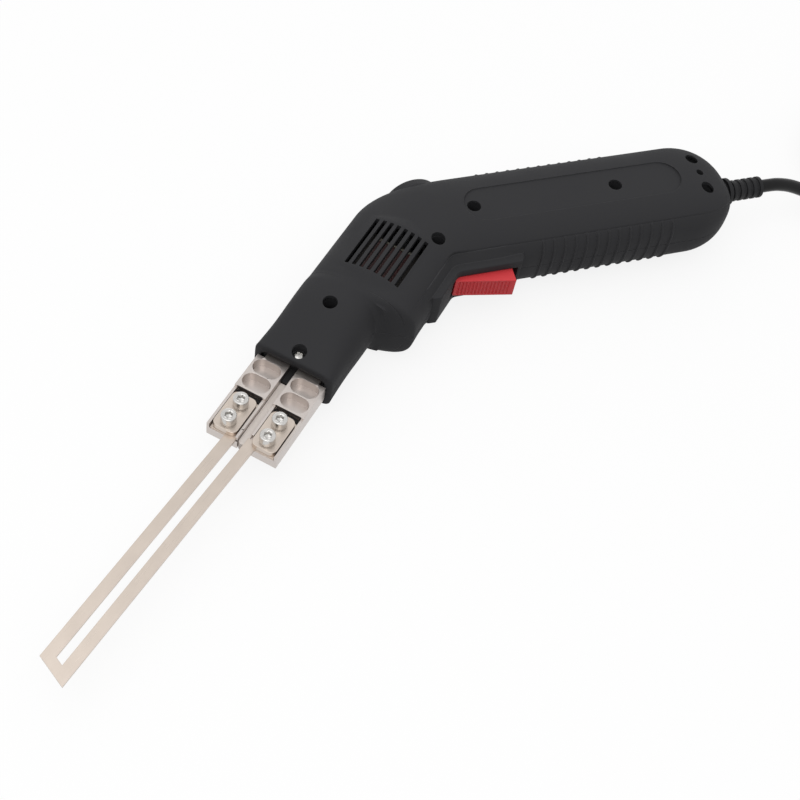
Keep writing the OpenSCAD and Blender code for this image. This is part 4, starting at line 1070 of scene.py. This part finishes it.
class HOTKNIFE_OT_cord(bpy.types.Operator):
    """Builds the mains cord with its coil, and finishes its tie, plug and strain relief"""

    bl_idname = "hotknife.cord"
    bl_label = "Cord"

    def execute(self, context):
        cord = context.scene.hotknife_cord
        route = self.route()
        line = bpy.data.curves.new("mains_cord", "CURVE")
        line.dimensions = "3D"
        line.bevel_depth = cord.diameter / 2
        line.bevel_resolution = CORD_ROUND
        line.use_fill_caps = True
        spline = line.splines.new("POLY")
        spline.points.add(len(route) - 1)
        for point, place in zip(spline.points, in_frame(route)):
            point.co = (*place, 1.0)
        spline.use_smooth = True
        piece = bpy.data.objects.new("mains_cord", line)
        context.scene.collection.objects.link(piece)
        sheath = finish("PVC sheath, extruded", cord.sheath)
        dress(piece, "cord_black", sheath, "cord", "cord_coil")
        rubber = finish("rubber, moulded", cord.rubber)
        coat("plug_body", rubber, PLUG_EDGE)
        coat("cord_boot", rubber, BOOT_EDGE)
        coat("coil_tie", finish("nylon strap, woven", cord.strap), SOFT_EDGE)
        coat("plug_pins", finish("brass, nickel plated"), FINE_EDGE)
        return {"FINISHED"}

    def route(self):
        """Points from the strain relief to the plug: a drop to the table, then loops in and out again."""
        free = [np.array((EXIT_X, 0, 0)) + np.array(p, float) for p in CORD_ROUTE]
        away = np.array((-math.sin(COIL_START), math.cos(COIL_START), 0))
        half = COIL_TURNS / 2
        outer = COIL_INNER_R + COIL_STEP * half
        start = free[-1] + CORD_D * away
        start[2] = COIL_Z
        middle = start - outer * np.array((math.cos(COIL_START), math.sin(COIL_START), 0))
        loops = []
        for t in np.linspace(0, COIL_TURNS, COIL_TURNS * COIL_RINGS + 1):
            angle = COIL_START + 2 * math.pi * t
            r = COIL_INNER_R + COIL_STEP * abs(t - half)
            climb = COIL_STEP * smooth_step((t - half) / COIL_CLIMB_SHARE + 0.5)
            loops.append(middle + np.array((r * math.cos(angle), r * math.sin(angle), climb)))
        return self.smoothed(free) + loops + [loops[-1] + PLUG_LEAD * away]

    def smoothed(self, points):
        """Line through the points with soft bends."""
        ends = [2 * points[0] - points[1], *points, 2 * points[-1] - points[-2]]
        line = []
        for k in range(1, len(ends) - 2):
            p, q, r, s = ends[k - 1:k + 3]
            for t in np.linspace(0, 1, POINTS.span, endpoint=False):
                line.append(0.5 * (2 * q + (r - p) * t + (2 * p - 5 * q + 4 * r - s) * t ** 2
                                   + (3 * q - p - 3 * r + s) * t ** 3))
        return line + [points[-1]]


class HOTKNIFE_OT_housing(bpy.types.Operator):
    """Moulds the two shells of the housing and finishes their screws and the nose insulator"""

    bl_idname = "hotknife.housing"
    bl_label = "Housing"

    def execute(self, context):
        housing = context.scene.hotknife_housing
        metal = context.scene.hotknife_metal
        shell = sparked_abs(
            "ABS, charcoal, moulded with a fine grain", tuple(housing.shell), tuple(housing.edge_highlight),
            housing.edge)
        for name, upper in (("upper", True), ("lower", False)):
            piece = half_shell(name + "_moulding", upper, housing)
            dress(piece, "housing_plastic", shell, name + "_shell")
        coat("shell_screws", finish("steel, black oxide", metal.oxide, METAL_EDGE), FINE_EDGE)
        bright = finish("steel, zinc plated", metal.screw, METAL_EDGE)
        dress(self.lip_screw(), "bright_screw", bright, "nose_screw")
        black = finish("phenolic, black, moulded")
        coat("nose_insulator", black, SOFT_EDGE)
        # A black piece stands in for the shade between the terminal blocks, in front of the nose insulator
        filler = SHADE_FILLER
        outline = nose_box(filler.back, SPACER.back, -filler.half, filler.half)
        piece = drawn("insulator_tongue", prism(outline, filler.low, filler.high))
        dress(break_edges(piece, SOFT_EDGE), "insulator_black", black)
        return {"FINISHED"}

    def lip_screw(self):
        """Small domed screw with a cross recess, deep in its well in the nose."""
        screw, cross = LIP_SCREW, LIP_CROSS
        r, rise = screw.head_r, screw.head - screw.side
        dome = [(r * math.cos(t), screw.side + rise * math.sin(t))
                for t in np.linspace(0, math.pi / 2, POINTS.dome)]
        profile = [(0, -screw.shank), (screw.shank_r, -screw.shank), (screw.shank_r, 0), (r, 0), *dome]
        x, y = nose_at(screw.a, 0)
        piece = drawn("lip_screw", moved(lathe(profile), x, y, screw.seat))
        for half, width in ((cross.half, cross.width), (cross.width, cross.half)):
            outline = [(x + i * half, y + j * width) for i, j in ((-1, -1), (1, -1), (1, 1), (-1, 1))]
            cut(piece, drawn("cross", prism(outline, cross.low, TOP)))
        shade(piece.data)
        return piece


class HOTKNIFE_OT_trigger(bpy.types.Operator):
    """Finishes the trigger, its pin, the switch and the heat dial"""

    bl_idname = "hotknife.trigger"
    bl_label = "Trigger and dial"

    def execute(self, context):
        housing = context.scene.hotknife_housing
        coat("trigger", finish("ABS, red, moulded", housing.trigger), SOFT_EDGE)
        black = finish("nylon, black, moulded", housing.dial)
        coat("dial", black, SOFT_EDGE)
        coat("switch_body", black, SOFT_EDGE)
        coat("switch_plunger", finish("nylon, natural, moulded"), FINE_EDGE)
        steel = finish("steel, drawn", None, METAL_EDGE)
        for node in ("trigger_pin", "potentiometer_shaft"):
            coat(node, steel, FINE_EDGE)
        return {"FINISHED"}


class HOTKNIFE_OT_clamp(bpy.types.Operator):
    """Finishes the terminal blocks, the clamp plates with their screws, and the blade"""

    bl_idname = "hotknife.clamp"
    bl_label = "Blade clamp"

    def execute(self, context):
        metal = context.scene.hotknife_metal
        block = finish("brass, milled and nickel plated", metal.terminal, metal.edge)
        strip = finish("nickel alloy strip, rolled", metal.strip, metal.edge / 2)
        steel = finish("steel, bright, turned", metal.screw, metal.edge)
        mica = finish("glass mica, pressed", metal.mica)
        fibre = finish("fibre, black, stamped")
        for name, side in (("spine", -1), ("trigger", 1)):
            piece = break_edges(self.terminal(name, side), metal.edge)
            dress(piece, "terminal_nickel", block, name + "_terminal")
            piece = break_edges(self.plate(name, side), metal.edge)
            dress(piece, "blade_nickel", strip, name + "_clamp_plate")
            dress(break_edges(self.stop_bar(name, side), metal.edge), "insulator_black", fibre)
        coat("blade", strip, metal.edge / 2)
        dress(self.cap_screws(), "bright_screw", steel, "clamp_screws")
        coat("clamp_washers", steel, metal.edge)
        dress(break_edges(self.spacer(), metal.edge), "bobbin_plastic", mica)
        return {"FINISHED"}

    def terminal(self, name, side):
        """Terminal block whose rims lie lower than its pockets."""
        mesh = NODES[name + "_terminal"].data
        piece = new_piece(
            name + "_block", [v.co for v in mesh.vertices], [face.vertices for face in mesh.polygons])
        low, rim = RIM_STEP, RIM_END
        step = nose_box(low.back, low.front, -low.side, low.side)
        cut(piece, drawn("step", prism(step, low.low, TOP)))
        if side < 0:
            end = nose_box(rim.back, rim.front, side * rim.inner, side * rim.outer)
            cut(piece, drawn("rim", prism(end, rim.low, low.low)), "UNION")
        return piece

    def plate(self, name, side):
        """Clamp plate with round corners and two screw holes."""
        plate = PLATE
        r, mid = plate.round, side * plate.side
        reach, front, back = plate.half - r, plate.front - r, plate.back + r
        outline = []
        for k, (a, b) in enumerate(((front, reach), (back, reach), (back, -reach), (front, -reach))):
            outline += round_outline((a, mid + b), r, POINTS.corner, k * math.pi / 2, math.pi / 2)
        piece = drawn(name + "_plate", prism([nose_at(*p) for p in outline], plate.low, plate.high))
        for a in CAP_PLACES:
            cut(piece, drawn("hole", prism(round_outline(nose_at(a, mid), plate.hole_r), -TOP, TOP)))
        return piece

    def stop_bar(self, name, side):
        """Black bar behind a clamp plate."""
        stop, mid = STOP_BAR, side * PLATE.side
        bar = nose_box(stop.back, stop.front, mid - stop.half, mid + stop.half)
        return drawn(name + "_stop_bar", prism(bar, stop.low, stop.high))

    def cap_screws(self):
        """Socket cap screws with rounded heads."""
        screw = CAP_SCREW
        corner = screw.socket / 2 / math.cos(SIXTH / 2)
        r, top, edge, lead = screw.head_r, screw.head, screw.edge, screw.lead
        bow = [(r - edge + edge * math.cos(t), top - edge + edge * math.sin(t))
               for t in np.linspace(0, math.pi / 2, POINTS.rim)]
        floor = top - screw.depth
        profile = [
            (0, -screw.shank), (screw.shank_r, -screw.shank), (screw.shank_r, 0), (r, 0), *bow,
            (corner + lead, top), (corner, top - lead), (corner, floor), (0, floor - screw.cone),
        ]
        turned = lathe(profile, POINTS.cap, corner)
        places = [nose_at(a, side * PLATE.side) for a in CAP_PLACES for side in (-1, 1)]
        return drawn("cap_screws", joined(moved(turned, x, y, screw.seat) for x, y in places))

    def spacer(self):
        """Strip between the terminal blocks, with a round front end."""
        r = SPACER.half
        end = round_outline((SPACER.front - r, 0), r, POINTS.spacer, -math.pi / 2, math.pi)
        outline = [(SPACER.back, -r), *end, (SPACER.back, r)]
        return drawn("terminal_spacer", prism([nose_at(*p) for p in outline], SPACER.low, SPACER.high))


class HOTKNIFE_OT_inside(bpy.types.Operator):
    """Finishes the transformer, the fan, the control board and the cord clamp inside the housing"""

    bl_idname = "hotknife.inside"
    bl_label = "Inside"

    def execute(self, context):
        black = finish("polyester, black, moulded")
        can = finish("aluminium, pressed", None, METAL_EDGE)
        for node, coating in (
            ("transformer_core", stacked_sheets("silicon steel, laminated")),
            ("primary_winding", stacked_sheets("copper wire under red tape")),
            ("secondary_straps", finish("copper, rolled", None, METAL_EDGE)),
            ("transformer_bobbin", finish("nylon, ivory, moulded")),
            ("fan_frame", black), ("fan_rotor", black), ("triac", black), ("cord_clamp", black),
            ("control_board", finish("glass laminate, green mask")),
            ("potentiometer", can), ("cord_clamp_screws", can),
            ("capacitor", finish("polyester box, yellow")),
        ):
            coat(node, coating, FINE_EDGE)
        return {"FINISHED"}


class HOTKNIFE_PT_panel(bpy.types.Panel):
    """Lists the steps that build the hot knife"""

    bl_label = "Hot knife"
    bl_idname = "HOTKNIFE_PT_panel"
    bl_space_type = "VIEW_3D"
    bl_region_type = "UI"
    bl_category = "Hot knife"

    def draw(self, context):
        for step in STEPS:
            self.layout.operator(step.bl_idname)
        for group in GROUPS:
            settings = getattr(context.scene, group)
            for name in settings.__annotations__:
                self.layout.prop(settings, name)


STEPS = (
    HOTKNIFE_OT_stage, HOTKNIFE_OT_cord, HOTKNIFE_OT_housing, HOTKNIFE_OT_trigger, HOTKNIFE_OT_clamp,
    HOTKNIFE_OT_inside,
)
GROUPS = {
    "hotknife_housing": HotKnifeHousing,
    "hotknife_metal": HotKnifeMetal,
    "hotknife_cord": HotKnifeCord,
    "hotknife_stage": HotKnifeStage,
}
KINDS = (*GROUPS.values(), *STEPS, HOTKNIFE_PT_panel)


def register():
    for kind in KINDS:
        bpy.utils.register_class(kind)
    for group, kind in GROUPS.items():
        setattr(bpy.types.Scene, group, bpy.props.PointerProperty(type=kind))


def unregister():
    for group in GROUPS:
        delattr(bpy.types.Scene, group)
    for kind in reversed(KINDS):
        bpy.utils.unregister_class(kind)


def main():
    """Builds every piece."""
    register()
    bpy.ops.hotknife.stage()
    bpy.ops.hotknife.cord()
    bpy.ops.hotknife.housing()
    bpy.ops.hotknife.trigger()
    bpy.ops.hotknife.clamp()
    bpy.ops.hotknife.inside()


if __name__ == "__main__":
    main()
